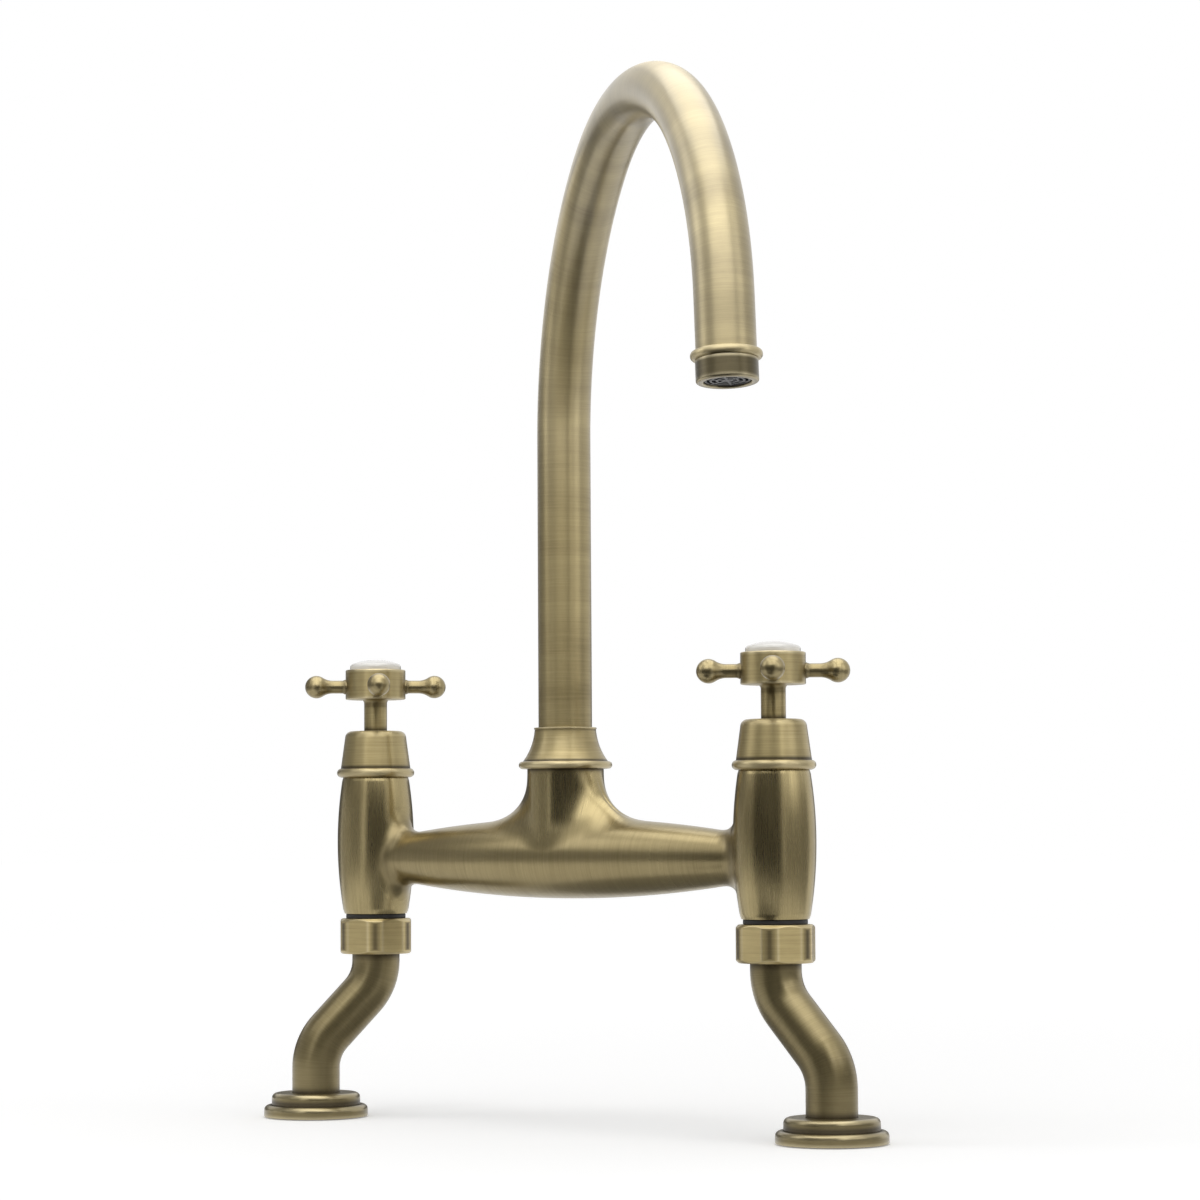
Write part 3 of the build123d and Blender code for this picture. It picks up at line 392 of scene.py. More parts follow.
def brushed(tone=1.0, rough=0.30, bands=0.0, depth=2.2e-6, streak=0.9, sheen=None):
    """Antique brass: brush lines along one coordinate, soft clouds, dark joints and grooves that are partly
    painted shade, and rubbed edges.

    tone lightens or darkens it, streak is how far single brush strokes show, and bands adds broad bands
    across them. sheen gives two heights in metres, between which the clear coat grows from thin to whole: a
    painted sheen that makes the upper part look more lit."""

    def build(start):
        brush = start.node("Attribute", {"attribute_name": "brush"}, out="Vector")
        relief = start.node("Attribute", {"attribute_name": "relief"}, out="Fac")
        place = start.node("TexCoord", out="Object")
        hair = noise(start, brush, (60.0, 60.0, 3400.0), 4.0, 0.7)
        stroke = noise(start, brush, (25.0, 25.0, 850.0), 3.0)
        cloud = noise(start, place, (38.0, 38.0, 38.0), 4.0)
        band = noise(start, brush, (6.0, 6.0, 62.0), 1.0)
        lines = 0.6 * (hair - 0.5) + streak * (stroke - 0.5)
        light = (0.62 + lines + 0.9 * (cloud - 0.5) + bands * (band - 0.5)).held()
        # Share of the dark colour: patina with painted shade in grooves and joints, plus soft clouds
        groove = (0.0 - relief * 1.1 + (cloud - 0.5) * 0.35).held()
        rub = (relief * 0.55 - 0.12 + (stroke - 0.5) * 0.3).held()
        metal = tint(start, light, tone * BRASS_DEEP, tone * BRASS_LIGHT)
        worn = tint(start, rub, metal, RUBBED)
        look = {
            "Base Color": tint(start, groove * 0.85, worn, PATINA_AND_SHADE),
            "Roughness": (rough - 0.14 * (hair - 0.5) - 0.12 * (light - 0.5) + 0.16 * groove).held(),
            "Normal": raised(start, hair, depth),
        }
        # Clear coat thickens with height: a painted sheen, brighter higher up where more light falls
        if sheen:
            height = start.node("SeparateXYZ", None, {0: place}, out="Z")
            climb = (1 - LOW_SHEEN_COAT) / (sheen[1] - sheen[0])
            look["Coat Weight"] = (LOW_SHEEN_COAT + (height - sheen[0]) * climb).held(LOW_SHEEN_COAT)
        return look

    return build


def grained(low, high, rough, depth, scale=900.0, spread=0.9):
    """A fine grain of two tones with its own bump."""

    def build(start):
        place = start.node("TexCoord", out="Object")
        grain = noise(start, place, (scale,) * 3, 3.0)
        cloud = noise(start, place, (60.0,) * 3, 3.0)
        share = (0.5 + spread * (grain - 0.5) + 0.8 * (cloud - 0.5)).held()
        return {
            "Base Color": tint(start, share, low, high),
            "Roughness": (rough + 0.25 * spread * (grain - 0.5) + 0.15 * (cloud - 0.5)).held(),
            "Normal": raised(start, grain, depth),
        }

    return build


def antique(name, lay=0.0, lacquer=None, **brush):
    """Lacquered antique brass, with its gloss drawn out across brush lines that lie round a piece."""
    coat = lacquer or {"Coat_Weight": 0.3, "Coat_Roughness": 0.22}
    drawn = {"Anisotropic": lay, "Anisotropic_Rotation": 0.25} if lay else {}
    return finish(f"antique_brass_{name}", brushed(**brush), Metallic=1.0, **drawn, **coat)


TUBE_LACQUER = {"Coat_IOR": 1.8, "Coat_Roughness": 0.32}
GLAZE_COAT = {"Coat_Weight": 0.7, "Coat_Roughness": 0.06}
ROUND_BRUSH = antique("turned", 0.8, tone=1.12, rough=0.45, streak=0.55)
TUBE_STROKES = {"tone": 0.95, "rough": 0.44, "bands": 1.0, "streak": 0.3, "sheen": (0.24, 0.37)}
TUBE_BRUSH = antique("tube", 0.8, TUBE_LACQUER, **TUBE_STROKES)
LONG_BRUSH = antique("cast", rough=0.29, streak=0.5)
NUT_BRUSH = antique("nuts", 0.75, tone=1.45, rough=0.46, streak=0.6)
ARM_BRUSH = antique("arms", tone=0.8, rough=0.36, depth=8e-7, streak=0.3)
# Legs and feet are darker copies of the same brass: painted shade for the dimmer light low down
LEG_BRUSH = antique("legs_shaded", tone=0.67, rough=0.38, depth=1e-6, streak=0.25)
FOOT_BRUSH = antique("feet_shaded", 0.4, tone=0.64, rough=0.34, streak=0.5)
NOZZLE_BRUSH = antique("nozzle", 0.4, tone=0.24, rough=0.40, streak=0.5)
BARE_BRASS = finish("bare_brass", grained((0.52, 0.38, 0.16), (0.74, 0.58, 0.30), 0.34, 4e-6), Metallic=1.0)
GLAZE_GRAIN = grained((0.72, 0.70, 0.655), (0.77, 0.75, 0.705), 0.25, 2e-7, 250.0, 0.3)
GLAZE = finish("white_glaze", GLAZE_GRAIN, **GLAZE_COAT)
VALVE_CERAMIC = finish("valve_ceramic", grained((0.70, 0.68, 0.62), (0.80, 0.79, 0.75), 0.30, 1e-6))
RUBBER = finish("black_rubber", grained((0.006, 0.006, 0.006), (0.022, 0.021, 0.020), 0.55, 8e-6))
WHITE_PLASTIC = finish("white_plastic", grained((0.68, 0.68, 0.65), (0.80, 0.80, 0.77), 0.45, 3e-6))
DARK_PLASTIC = finish("dark_plastic", grained((0.028, 0.028, 0.030), (0.070, 0.070, 0.075), 0.40, 4e-6))
STEEL = finish("plain_steel", grained((0.42, 0.42, 0.42), (0.64, 0.64, 0.635), 0.32, 3e-6), Metallic=1.0)

SLOT_FINISH = {
    "antique_brass": BARE_BRASS,
    "bare_brass": BARE_BRASS,
    "white_glaze": GLAZE,
    "valve_ceramic": VALVE_CERAMIC,
    "black_rubber": RUBBER,
    "white_plastic": WHITE_PLASTIC,
    "dark_plastic": DARK_PLASTIC,
    "steel": STEEL,
}
for row in frame["record"]["subparts"]:
    solid = frame["nodes"][row["node"]].data
    solid.materials.clear()
    solid.materials.append(SLOT_FINISH[row["material_slot"]])

# Spout

spout_parts = [(RISER_TOP - TUBE_START, 0)]
spout_parts += [(radius, np.radians(degrees)) for radius, degrees in TUBE_BENDS]
spout_parts += [(TUBE_END_RUN, 0)]
spout_line, spout_heading = bent_line((0.0, TUBE_START), np.pi / 2, spout_parts)
tube = sweep(spout_line, spout_heading, (TUBE_RADIUS, TUBE_RADIUS - TUBE_WALL))
piece("swan_neck", "spout", TUBE_BRUSH, [moved(tube, SPOUT_TURN)], ["spout_tube"])

# The outlet's pieces are turned about the tube's end, with their Z axis back along the tube
end_down = np.array([spout_heading[-1][0], 0.0, spout_heading[-1][1]])
outlet_basis = np.stack([np.array([0.0, 1.0, 0.0]), np.cross(-end_down, [0.0, 1.0, 0.0]), -end_down], -1)
outlet_centre = np.array([spout_line[-1][0], 0.0, spout_line[-1][1]])


def at_outlet(profile):
    """The turned piece of a profile, set on the tube's end and swung with the spout."""
    return moved(moved(lathe(profile, 128), basis=outlet_basis, shift=outlet_centre), SPOUT_TURN)


BEAD_BASE = -3.2
OUTLET_BEAD = outline(
    (7.7, -6.0), (9.7, -6.0), (9.7, BEAD_BASE), (13.05, BEAD_BASE, 1.5), (13.05, 0, 1.5),
    (9.47, 0), (9.47, 6.0), (7.7, 6.0),
)
NOZZLE = outline(
    (8.65, -11.6, 0.45), (11.35, -11.6, 0.9), (11.35, BEAD_BASE, 0.2), (9.8, BEAD_BASE),
    (9.8, -8.4), (8.65, -8.4),
)
piece("outlet_bead", "spout", ROUND_BRUSH, [at_outlet(OUTLET_BEAD)], ["outlet_ferrule"])
piece("nozzle", "spout", NOZZLE_BRUSH, [at_outlet(NOZZLE)], ["aerator_housing"])

# Collar: a bead and a bell, with a small rim round the tube

BELL_FOOT = (17.5, COLLAR_BASE + 3.0)
BELL_TOP = (12.6, COLLAR_BASE + 16.1)
COLLAR_TOP = COLLAR_BASE + 16.9
COLLAR_SEAT = COLLAR_BASE + 9.2
COLLAR = np.concatenate([
    outline((12.4, COLLAR_BASE)),
    arc((17.5, COLLAR_BASE), (19.2, COLLAR_BASE + 1.5), BELL_FOOT),
    arc(BELL_FOOT, (13.9, COLLAR_BASE + 9.8), BELL_TOP, 24)[1:],
    outline((12.85, BELL_TOP[1] + 0.15), (12.85, COLLAR_TOP - 0.15), (12.65, COLLAR_TOP), (11.5, COLLAR_TOP)),
    outline((11.3, COLLAR_TOP - 0.2), (11.3, COLLAR_SEAT), (12.4, COLLAR_SEAT)),
])
# Darker at the bell's foot and top: patina with painted shade in the corners
collar = lathe(COLLAR, 144, step=0.5 * MM, dark=[(*BELL_FOOT, 0.6), (*BELL_TOP, 0.5)])
piece("bell_collar", "tap_body", ROUND_BRUSH, [collar], ["spout_collar"])

# Casting, worked out in mm: each part is a grid, and fillets follow a ball that rolls along two parts

BARREL_CHAIN = ((13.6, BARREL_BASE), (16.3, (BARREL_BASE + BARREL_TOP) / 2), (14.1, BARREL_TOP))
BRIDGE_CHAIN = ((-BARREL_OFFSET, 7.2), (0, 16.4), (BARREL_OFFSET, 7.2))
BARREL_CENTRE, BARREL_BOW = arc_centre(*BARREL_CHAIN)
BRIDGE_CENTRE, BRIDGE_BOW = arc_centre(*BRIDGE_CHAIN)
BRIDGE_BALL, STUB_BALL = 11.5, 31.0
BRIDGE_PATINA, FILLET_SHADE_AND_PATINA = 0.2, 0.4


def barrel_radius(z, off=0.0):
    """Radius of a barrel at a height, on its arc or a distance off it."""
    return BARREL_CENTRE[0] + np.sqrt((BARREL_BOW + off) ** 2 - (z - BARREL_CENTRE[1]) ** 2)


def bridge_radius(x, off=0.0):
    """Radius of the bridge at a place along it, on its arc or a distance off it."""
    return BRIDGE_CENTRE[1] + np.sqrt((BRIDGE_BOW + off) ** 2 - (x - BRIDGE_CENTRE[0]) ** 2)


def unit(vectors):
    """The vectors at length 1."""
    return vectors / np.linalg.norm(vectors, axis=-1, keepdims=True)


def towards_bridge(centre):
    """Direction from a ball's centre to its contact with the bridge: at the centre of the bridge's arc."""
    x, y, rise = centre[..., 0], centre[..., 1], centre[..., 2] - BRIDGE_AXIS
    far = np.hypot(y, rise)
    fall = (BRIDGE_CENTRE[1] - far) / far
    return unit(np.stack([BRIDGE_CENTRE[0] - x, fall * y, fall * rise], -1))


def towards_barrel(centre):
    """Direction from a ball's centre to its contact with the right barrel: at the barrel arc's centre."""
    x, y, z = centre[..., 0] - BARREL_OFFSET, centre[..., 1], centre[..., 2]
    far = np.hypot(x, y)
    fall = (BARREL_CENTRE[0] - far) / far
    return unit(np.stack([fall * x, fall * y, BARREL_CENTRE[1] - z], -1))


def soft_track(centre, to_first, to_second, ball, t):
    """Soft fillet between the places where a ball touches two parts.

    A quintic blend: it leaves the first contact and reaches the second along their tangents, with no bend at
    its ends, and each tangent's handles are 0.36 and 0.72 of the way to where the tangents cross."""
    apart = np.arccos(np.clip((to_first * to_second).sum(-1, keepdims=True), -1, 1))
    leave = (to_second - np.cos(apart) * to_first) / np.sin(apart)
    arrive = (np.cos(apart) * to_second - to_first) / np.sin(apart)
    handle = 0.36 * ball * np.tan(apart / 2)
    first, last = centre + ball * to_first, centre + ball * to_second
    marks = [first, first + handle * leave, first + 2 * handle * leave]
    marks += [last - 2 * handle * arrive, last - handle * arrive, last]
    t = t[..., None]
    shares = [ways * t**k * (1 - t) ** (5 - k) for k, ways in enumerate((1, 5, 10, 10, 5, 1))]
    return sum(share * mark for share, mark in zip(shares, marks))


def casting_barrel(x):
    """Barrel from its threaded end to its top, brushed lengthwise: the third coordinate goes round it."""
    profile = np.concatenate([
        outline((6.5, 74.4), (10.95, 74.4), (11.45, 74.9), (11.45, BARREL_BASE), (13.3, BARREL_BASE)),
        arc(*BARREL_CHAIN, 80)[2:-2],
        outline((13.9, BARREL_TOP), (10.6, BARREL_TOP), (10.6, 101.0), (6.5, 101.0)),
    ])
    # Darker at the barrel's top and bottom joints: patina with painted shade where parts meet
    joints = [(14.1, BARREL_TOP, 1.1), (13.6, BARREL_BASE, 0.9)]
    part = lathe(profile, 144, axis=(x, 0.0), step=2.0 * MM, dark=joints)
    across, deep, height = np.moveaxis(part["points"], -1, 0)
    around = 15 * MM * np.arctan2(deep, -np.sign(x) * (across - x))
    return {**part, "brush": np.stack([height, 0 * around, around], -1)}


def casting_bridge():
    """Bridge between the barrels, with a soft fillet at each end.

    Ball centre for each angle a round the bridge: on the bridge's arc and on the barrel's arc, both made
    larger by the ball's radius. Patina lies thinly on the bridge. In the fillets it lies deeper, together
    with painted shade where the bridge meets the barrels."""
    a = np.linspace(0, 2 * np.pi, 160, endpoint=False)
    x = np.full_like(a, 85.0)
    for _ in range(20):
        far = bridge_radius(x, BRIDGE_BALL)
        y, z = far * np.cos(a), BRIDGE_AXIS + far * np.sin(a)
        x = BARREL_OFFSET - np.sqrt(barrel_radius(z, BRIDGE_BALL) ** 2 - y**2)
    centre = np.stack([x, y, z], -1)
    fade = np.linspace(0, 1, 24)
    track = soft_track(centre, towards_bridge(centre), towards_barrel(centre), BRIDGE_BALL, fade[:, None])
    length = np.linspace(-1, 1, 130)[:, None] * track[0, :, 0]
    radius = bridge_radius(length)
    middle = np.stack([length, radius * np.cos(a), BRIDGE_AXIS + radius * np.sin(a)], -1)
    other = (track * np.array([-1.0, 1.0, 1.0]))[::-1]
    points = np.concatenate([other[:-1], middle, track[1:]])
    inside = np.hypot(points[..., 0], points[..., 1]) < 0.75 * STUB_RADIUS
    keep = ~(inside & (points[..., 2] > BRIDGE_AXIS))
    points = points * MM
    brush = np.stack([points[..., 1], points[..., 2], points[..., 0]], -1)
    # Fillets darken towards their middle: patina with painted shade where bridge and barrel meet
    fillet = -BRIDGE_PATINA * (1 - fade) - FILLET_SHADE_AND_PATINA * np.sin(np.pi * fade) ** 2
    relief = np.concatenate([fillet[:0:-1], np.full(len(middle), -BRIDGE_PATINA), fillet[1:]])[:, None]
    part = surface(points[:, ::-1], brush[:, ::-1], relief, (False, True))
    return {**part, "keep": keep[:, ::-1]}


def casting_stub():
    """Upright stub with the soft fillet that spreads on the bridge, and its threaded end inside the collar.

    Ball centre for each angle a round the stub: the stub's radius plus the ball's from the stub's axis, and
    on the bridge's arc made larger by the ball's radius. The fillet ends at the collar's seat, or a wall
    goes on to the seat, and rows run evenly along both."""
    a = np.linspace(0, 2 * np.pi, 192, endpoint=False)
    x, y = (STUB_RADIUS + STUB_BALL) * np.cos(a), (STUB_RADIUS + STUB_BALL) * np.sin(a)
    rise = np.sqrt(np.maximum(bridge_radius(x, STUB_BALL) ** 2 - y**2, 2.0**2))
    centre = np.stack([x, y, BRIDGE_AXIS + rise], -1)
    to_bridge = towards_bridge(centre)
    to_stub = np.stack([-np.cos(a), -np.sin(a), 0 * a], -1)
    low, high = np.zeros_like(a), np.ones_like(a)
    for _ in range(30):
        middle = (low + high) / 2
        under = soft_track(centre, to_bridge, to_stub, STUB_BALL, middle)[..., 2] < COLLAR_BASE
        low, high = np.where(under, middle, low), np.where(under, high, middle)
    wall = np.maximum(COLLAR_BASE - BRIDGE_AXIS - rise, 0)
    fillet = STUB_BALL * high * np.arccos(np.clip((to_bridge * to_stub).sum(-1), -1, 1))
    run = np.linspace(0, 1, 64)[:, None] * (fillet + wall)
    share = np.minimum(run / fillet, 1)
    points = soft_track(centre, to_bridge, to_stub, STUB_BALL, high * share)
    points[..., 2] += np.maximum(run - fillet, 0)
    end = outline((12.3, COLLAR_BASE), (12.3, 151.1), (11.8, 151.6), (10.08, 151.6), (10.08, 127.6))
    end = refined(end, 1.0 * MM, False)
    thread = np.stack([end[:, :1] * np.cos(a), end[:, :1] * np.sin(a), end[:, 1:] + 0 * a], -1)
    points = np.concatenate([points * MM, thread])
    brush = np.stack([points[..., 1], points[..., 2], points[..., 0]], -1)
    # Darker ring where the stub enters the collar: patina with painted shade under the collar's edge
    relief = -1.1 * np.exp(-(((points[..., 2] / MM - COLLAR_BASE) / 1.2) ** 2))
    relief[: len(run)] -= BRIDGE_PATINA * (1 - share)
    return surface(points, brush, relief, (False, True))


casting = [casting_barrel(SIDES["left"]), casting_barrel(SIDES["right"]), casting_bridge(), casting_stub()]
piece("casting", "tap_body", LONG_BRUSH, casting, ["bridge_body"])

# Pillars: what stands on each barrel and hangs below it


def soft_least(first, second, blend):
    """Lesser of two, with the corner between them rounded over a blend."""
    share = np.clip(0.5 + 0.5 * (second - first) / blend, 0, 1)
    return second + (first - second) * share - blend * share * (1 - share)


def hexagon(flats, corners, base, top, bore, turn, spread, lip=()):
    """Hexagon nut: its radius is the least of its flats, its cut corners and the turned cones at both ends.

    Sizes are in mm. Flats lie at half width / cos(angle from their middle), corners are round, and each
    cone's radius grows by the spread for each mm from its end. Edges are rubbed, and the cut corners are
    darkened with painted shade."""
    tall, ends, ease = top - base, 2.2, 0.3
    a = np.linspace(0, 2 * np.pi, 240, endpoint=False)[None]
    off_flat = a % np.radians(60) - np.radians(30)
    middle = np.linspace(ends, tall - ends, 14)[1:-1]
    z = np.concatenate([np.linspace(0, ends, 20), middle, np.linspace(tall - ends, tall, 20)])[:, None]
    flat = flats / 2 / np.cos(off_flat) + 0 * z
    cut = corners / 2 + 0 * flat
    cone = (flats - 1.0) / 2 + spread * np.minimum(z, tall - z) + 0 * a
    side = soft_least(soft_least(flat, cut, 0.25), cone, 0.3)
    ordered = np.sort(np.stack([flat, cut, cone]), 0)
    rubbed = np.exp(-(((ordered[1] - ordered[0]) / 0.25) ** 2))
    # Painted shade on the cut corners, standing in for their dark reflection
    patina_and_shade = 0.85 * np.clip((np.minimum(flat, cone) - cut) / 1.3, 0, 1)
    lower = lip[-1][0] if lip else bore
    inside = np.array([(bore + ease, tall), (bore, tall - ease), *lip, (lower, ease), (lower + ease, 0.0)])
    radius = np.concatenate([side, inside[:, :1] + 0 * a]) * MM
    height = (np.concatenate([z, inside[:, 1:]]) + base) * MM + 0 * a
    points = np.stack([radius * np.cos(a + turn), radius * np.sin(a + turn), height], -1)
    relief = np.concatenate([rubbed - patina_and_shade, np.zeros((len(inside), a.shape[1]))])
    ring = flats / 2 * MM + 0 * height
    return surface(points, np.stack([ring * np.cos(a), ring * np.sin(a), height], -1), relief, (True, True))


def tail_thread(a, r, z):
    """Screw thread on a foot's tail, as a change of its radius.

    The phase, height / pitch - angle / full turn, goes from 0 to 1 on each turn. The radius sinks by the
    depth and comes back as it does, and the thread fades out within one pitch of either end."""
    pitch = THREAD_PITCH * MM
    rise = np.abs(2 * ((z / pitch - a / (2 * np.pi)) % 1.0) - 1)
    low, high = (TAIL_EASE - TAIL_LENGTH) * MM, -0.5 * MM
    fade = np.clip((z - low) / pitch, 0, 1) * np.clip((high - z) / pitch, 0, 1)
    on_tail = np.abs(r - TAIL_RADIUS * MM) < 0.01 * MM
    return -THREAD_DEPTH * MM * np.clip(1.25 * rise - 0.12, 0, 1) * fade * on_tail


def arm_profile():
    """Handle's arm along its own axis: a foot, a neck that flares through a cove, and a ball.

    The cove is an arc that touches the neck and the ball, so the centres of cove and ball lie as far apart
    as the sum of their radii."""
    ball, cove, neck, tip = 4.85, 7.8, 2.75, 30.2
    ball_at = tip - ball
    reach = np.sqrt((ball + cove) ** 2 - (neck + cove) ** 2)
    touch = np.arctan2(reach, neck + cove)
    t = np.linspace(0, touch, 14)
    flare = np.stack([neck + cove - cove * np.cos(t), ball_at - reach + cove * np.sin(t)], -1)
    t = np.linspace(-touch, np.pi / 2, 32)
    end = np.stack([ball * np.cos(t), ball_at + ball * np.sin(t)], -1)
    end[-1, 0] = 0.0
    foot = np.array([[0.0, 11.6], [3.15, 11.6], [3.15, 13.25], [3.0, 13.5], [neck, 14.2]])
    return np.concatenate([foot, flare, end[1:]]) * MM


# Valve cover: a bead on the barrel's top and a tapered wall
COVER_NECK = 14.9
COVER_BEAD_TOP = BARREL_TOP + 3.8
COVER = np.concatenate([
    arc((COVER_NECK, BARREL_TOP), (16.55, BARREL_TOP + 1.9), (COVER_NECK, COVER_BEAD_TOP)),
    outline(
        (COVER_NECK, COVER_BEAD_TOP), (12.7, COVER_TOP, 2.8), (5.2, COVER_TOP), (5.2, COVER_TOP - 2.0),
        (10.7, COVER_TOP - 2.0), (12.9, BARREL_TOP),
    )[1:],
])
# Darker at the bead's joints: patina with painted shade where parts meet
cover = lathe(COVER, 144, dark=[(COVER_NECK, COVER_BEAD_TOP, 0.7), (COVER_NECK, BARREL_TOP, 0.8)])

# Handle: a hub with its stem, and the button in the hub's recess
STEM_RADIUS, STEM_BORE, STEM_BASE, STEM_SEAT = 4.9, 3.8, 158.8, 174.3
HUB_RADIUS, RECESS_RADIUS, RECESS_FLOOR = 12.85, 11.1, 186.7
HUB = outline(
    (STEM_RADIUS, STEM_BASE), (STEM_RADIUS, HUB_BASE, 1.7), (HUB_RADIUS, HUB_BASE, 0.45),
    (HUB_RADIUS, HUB_TOP, 0.5), (RECESS_RADIUS, HUB_TOP, 0.15), (RECESS_RADIUS, RECESS_FLOOR),
    (4.7, RECESS_FLOOR), (4.7, STEM_SEAT), (STEM_BORE, STEM_SEAT), (STEM_BORE, STEM_BASE),
)
# Darker where the stem leaves the cover and at the recess edge: patina with painted shade
hub = lathe(HUB, 128, groove=0.35, dark=[(STEM_RADIUS, COVER_TOP, 1.4), (RECESS_RADIUS, HUB_TOP + 0.2, 0.5)])
BUTTON_RADIUS, BUTTON_BASE = 10.9, 186.75
BUTTON_SHOULDER, BUTTON_TOP = (9.896, 192.316), (0.0, 194.0)
BUTTON = np.concatenate([
    outline((0.0, BUTTON_BASE), (BUTTON_RADIUS, BUTTON_BASE), (BUTTON_RADIUS, 190.5)),
    arc((BUTTON_RADIUS, 190.9), (10.624, 191.768), BUTTON_SHOULDER, 8),
    arc(BUTTON_SHOULDER, (5.019, 193.576), BUTTON_TOP, 24)[1:],
])
button = lathe(BUTTON, 96, closed=False)
# Darker at the arm's root: patina with painted shade where it meets the hub
arm = lathe(arm_profile(), 64, closed=False, step=0.4 * MM, dark=[(3.15, 12.7, 1.0)])

# Union: a hexagon nut with a lip under the leg's collar, and the black seal above it. Flats are in mm, and
# a nut's edge is the angle in degrees past which it shows sharp
NUT_BORE, NUT_FLATS, NUT_EDGE = 11.55, 30.0, 30.0
NUT_LIP = ((NUT_BORE, 2.0), (10.4, 2.0))
SEAL = outline((NUT_BORE, NUT_TOP), (12.7, NUT_TOP, 0.5), (12.7, BARREL_BASE, 0.5), (NUT_BORE, BARREL_BASE))
seal = lathe(SEAL, 96)

# Leg: down from the union, over to the side and down into the foot
neck_end = NUT_BASE - 3.0
slope_run = (LEG_OFFSET - 2 * LEG_BEND * (1 - np.cos(LEG_SLOPE))) / np.sin(LEG_SLOPE)
slope_drop = 2 * LEG_BEND * np.sin(LEG_SLOPE) + slope_run * np.cos(LEG_SLOPE)
leg_parts = [(LEG_TOP - neck_end, 0), (LEG_BEND, -LEG_SLOPE), (slope_run, 0), (LEG_BEND, LEG_SLOPE)]
leg_parts += [(neck_end - slope_drop - LEG_END, 0)]
leg_line, leg_heading = bent_line((0.0, LEG_TOP), -np.pi / 2, leg_parts)
# Darker at the nut and at the foot's step: patina with painted shade where parts meet
leg_joints = [(0, NUT_BASE, 1.8), (LEG_OFFSET, STEP_TOP, 1.6)]
LEG_COLLAR = outline((LEG_BORE, 70.4), (11.15, 70.4, 0.3), (11.15, LEG_TOP, 0.3), (LEG_BORE, LEG_TOP))
crank = [sweep(leg_line, leg_heading, (LEG_RADIUS, LEG_BORE), 80, leg_joints), lathe(LEG_COLLAR, 80)]

# Foot: a round flange with a step, a groove for the gasket and a threaded tail
SOCKET_RADIUS = 10.13
FOOT = outline(
    (LEG_BORE, -TAIL_LENGTH), (TAIL_RADIUS - TAIL_EASE, -TAIL_LENGTH), (TAIL_RADIUS, TAIL_EASE - TAIL_LENGTH),
    (TAIL_RADIUS, 0.0), (12.9, 0.0), (12.9, 1.6), (19.4, 1.6), (19.4, 0.0),
    (FLANGE_RADIUS, 0.0, 0.4), (FLANGE_RADIUS, FLANGE_TOP, 2.2), (STEP_RADIUS + 0.2, FLANGE_TOP, 0.15),
    (STEP_RADIUS, FLANGE_TOP - 0.3), (STEP_RADIUS, STEP_TOP, 2.2), (10.3, STEP_TOP, 0.15),
    (SOCKET_RADIUS, STEP_TOP - 0.4), (SOCKET_RADIUS, LEG_END), (LEG_BORE, LEG_END),
)
# Darker at the step's base and the socket: patina with painted shade in the corners
foot_joints = [(STEP_RADIUS, 5.4, 2.0), (10.3, STEP_TOP, 1.6)]
flange = lathe(FOOT, 96, step=0.3 * MM, waves=tail_thread, dark=foot_joints)
WASHER_BASE, WASHER_TOP = -32.5, -30.0
BACK_WASHER = outline(
    (10.78, WASHER_BASE, 0.3), (19.0, WASHER_BASE, 0.5), (19.0, WASHER_TOP, 0.5), (10.78, WASHER_TOP, 0.3),
)
washer = lathe(BACK_WASHER, 96)


def pillar_piece(side, name, body, material, parts, shift, solid, turn=0.0, edge=38.0):
    """Puts one side's piece, turned and shifted, in the place of its solid."""
    parts = [moved(part, turn, shift) for part in parts]
    piece(f"{side}_{name}", body, material, parts, [f"{side}_{solid}"], edge)


for side, x in SIDES.items():
    body, handle, leg = "tap_body", f"{side}_handle", f"{side}_leg_set"
    out = LEG_TURN[side]
    at_barrel = (x, 0.0, 0.0)
    at_hub = (x, 0.0, ARM_AXIS * MM)
    at_foot = (x + LEG_OFFSET * MM * np.cos(out), LEG_OFFSET * MM * np.sin(out), 0.0)
    nut = hexagon(NUT_FLATS, 31.6, NUT_BASE, NUT_TOP, NUT_BORE, NUT_TURN[side], 1.2, NUT_LIP)
    lock = hexagon(NUT_FLATS, 34.64, -40.5, WASHER_BASE, 10.58, out, 2.14)
    pillar_piece(side, "cover", body, ROUND_BRUSH, [cover], at_barrel, "valve_cover")
    pillar_piece(
        side, "hexagon_nut", body, NUT_BRUSH, [nut], at_barrel, "union_nut", edge=NUT_EDGE
    )
    pillar_piece(side, "black_seal", body, RUBBER, [seal], at_barrel, "union_seal")
    pillar_piece(side, "hub", handle, ROUND_BRUSH, [hub], at_barrel, "handle_head")
    pillar_piece(side, "button", handle, GLAZE, [button], at_barrel, "index_cap")
    for number in range(1, 5):
        swing = HANDLE_TURN[side] + (number - 1) * np.pi / 2
        ahead = np.array([np.cos(swing), np.sin(swing), 0.0])
        basis = np.stack([np.array([0.0, 0.0, 1.0]), np.cross(ahead, [0.0, 0.0, 1.0]), ahead], -1)
        spoke = moved(arm, basis=basis)
        name = f"arm_{number}"
        pillar_piece(side, name, handle, ARM_BRUSH, [spoke], at_hub, f"handle_{name}")
    pillar_piece(side, "crank", leg, LEG_BRUSH, crank, at_barrel, "leg", out)
    pillar_piece(side, "flange", leg, FOOT_BRUSH, [flange], at_foot, "foot")
    pillar_piece(side, "plate_washer", leg, STEEL, [washer], at_foot, "back_washer")
    pillar_piece(side, "lock_nut", leg, BARE_BRASS, [lock], at_foot, "back_nut", edge=NUT_EDGE)

# Studio: pale floor, white surroundings, soft lamps and cards

WHITE = (1.0, 1.0, 1.0, 1.0)


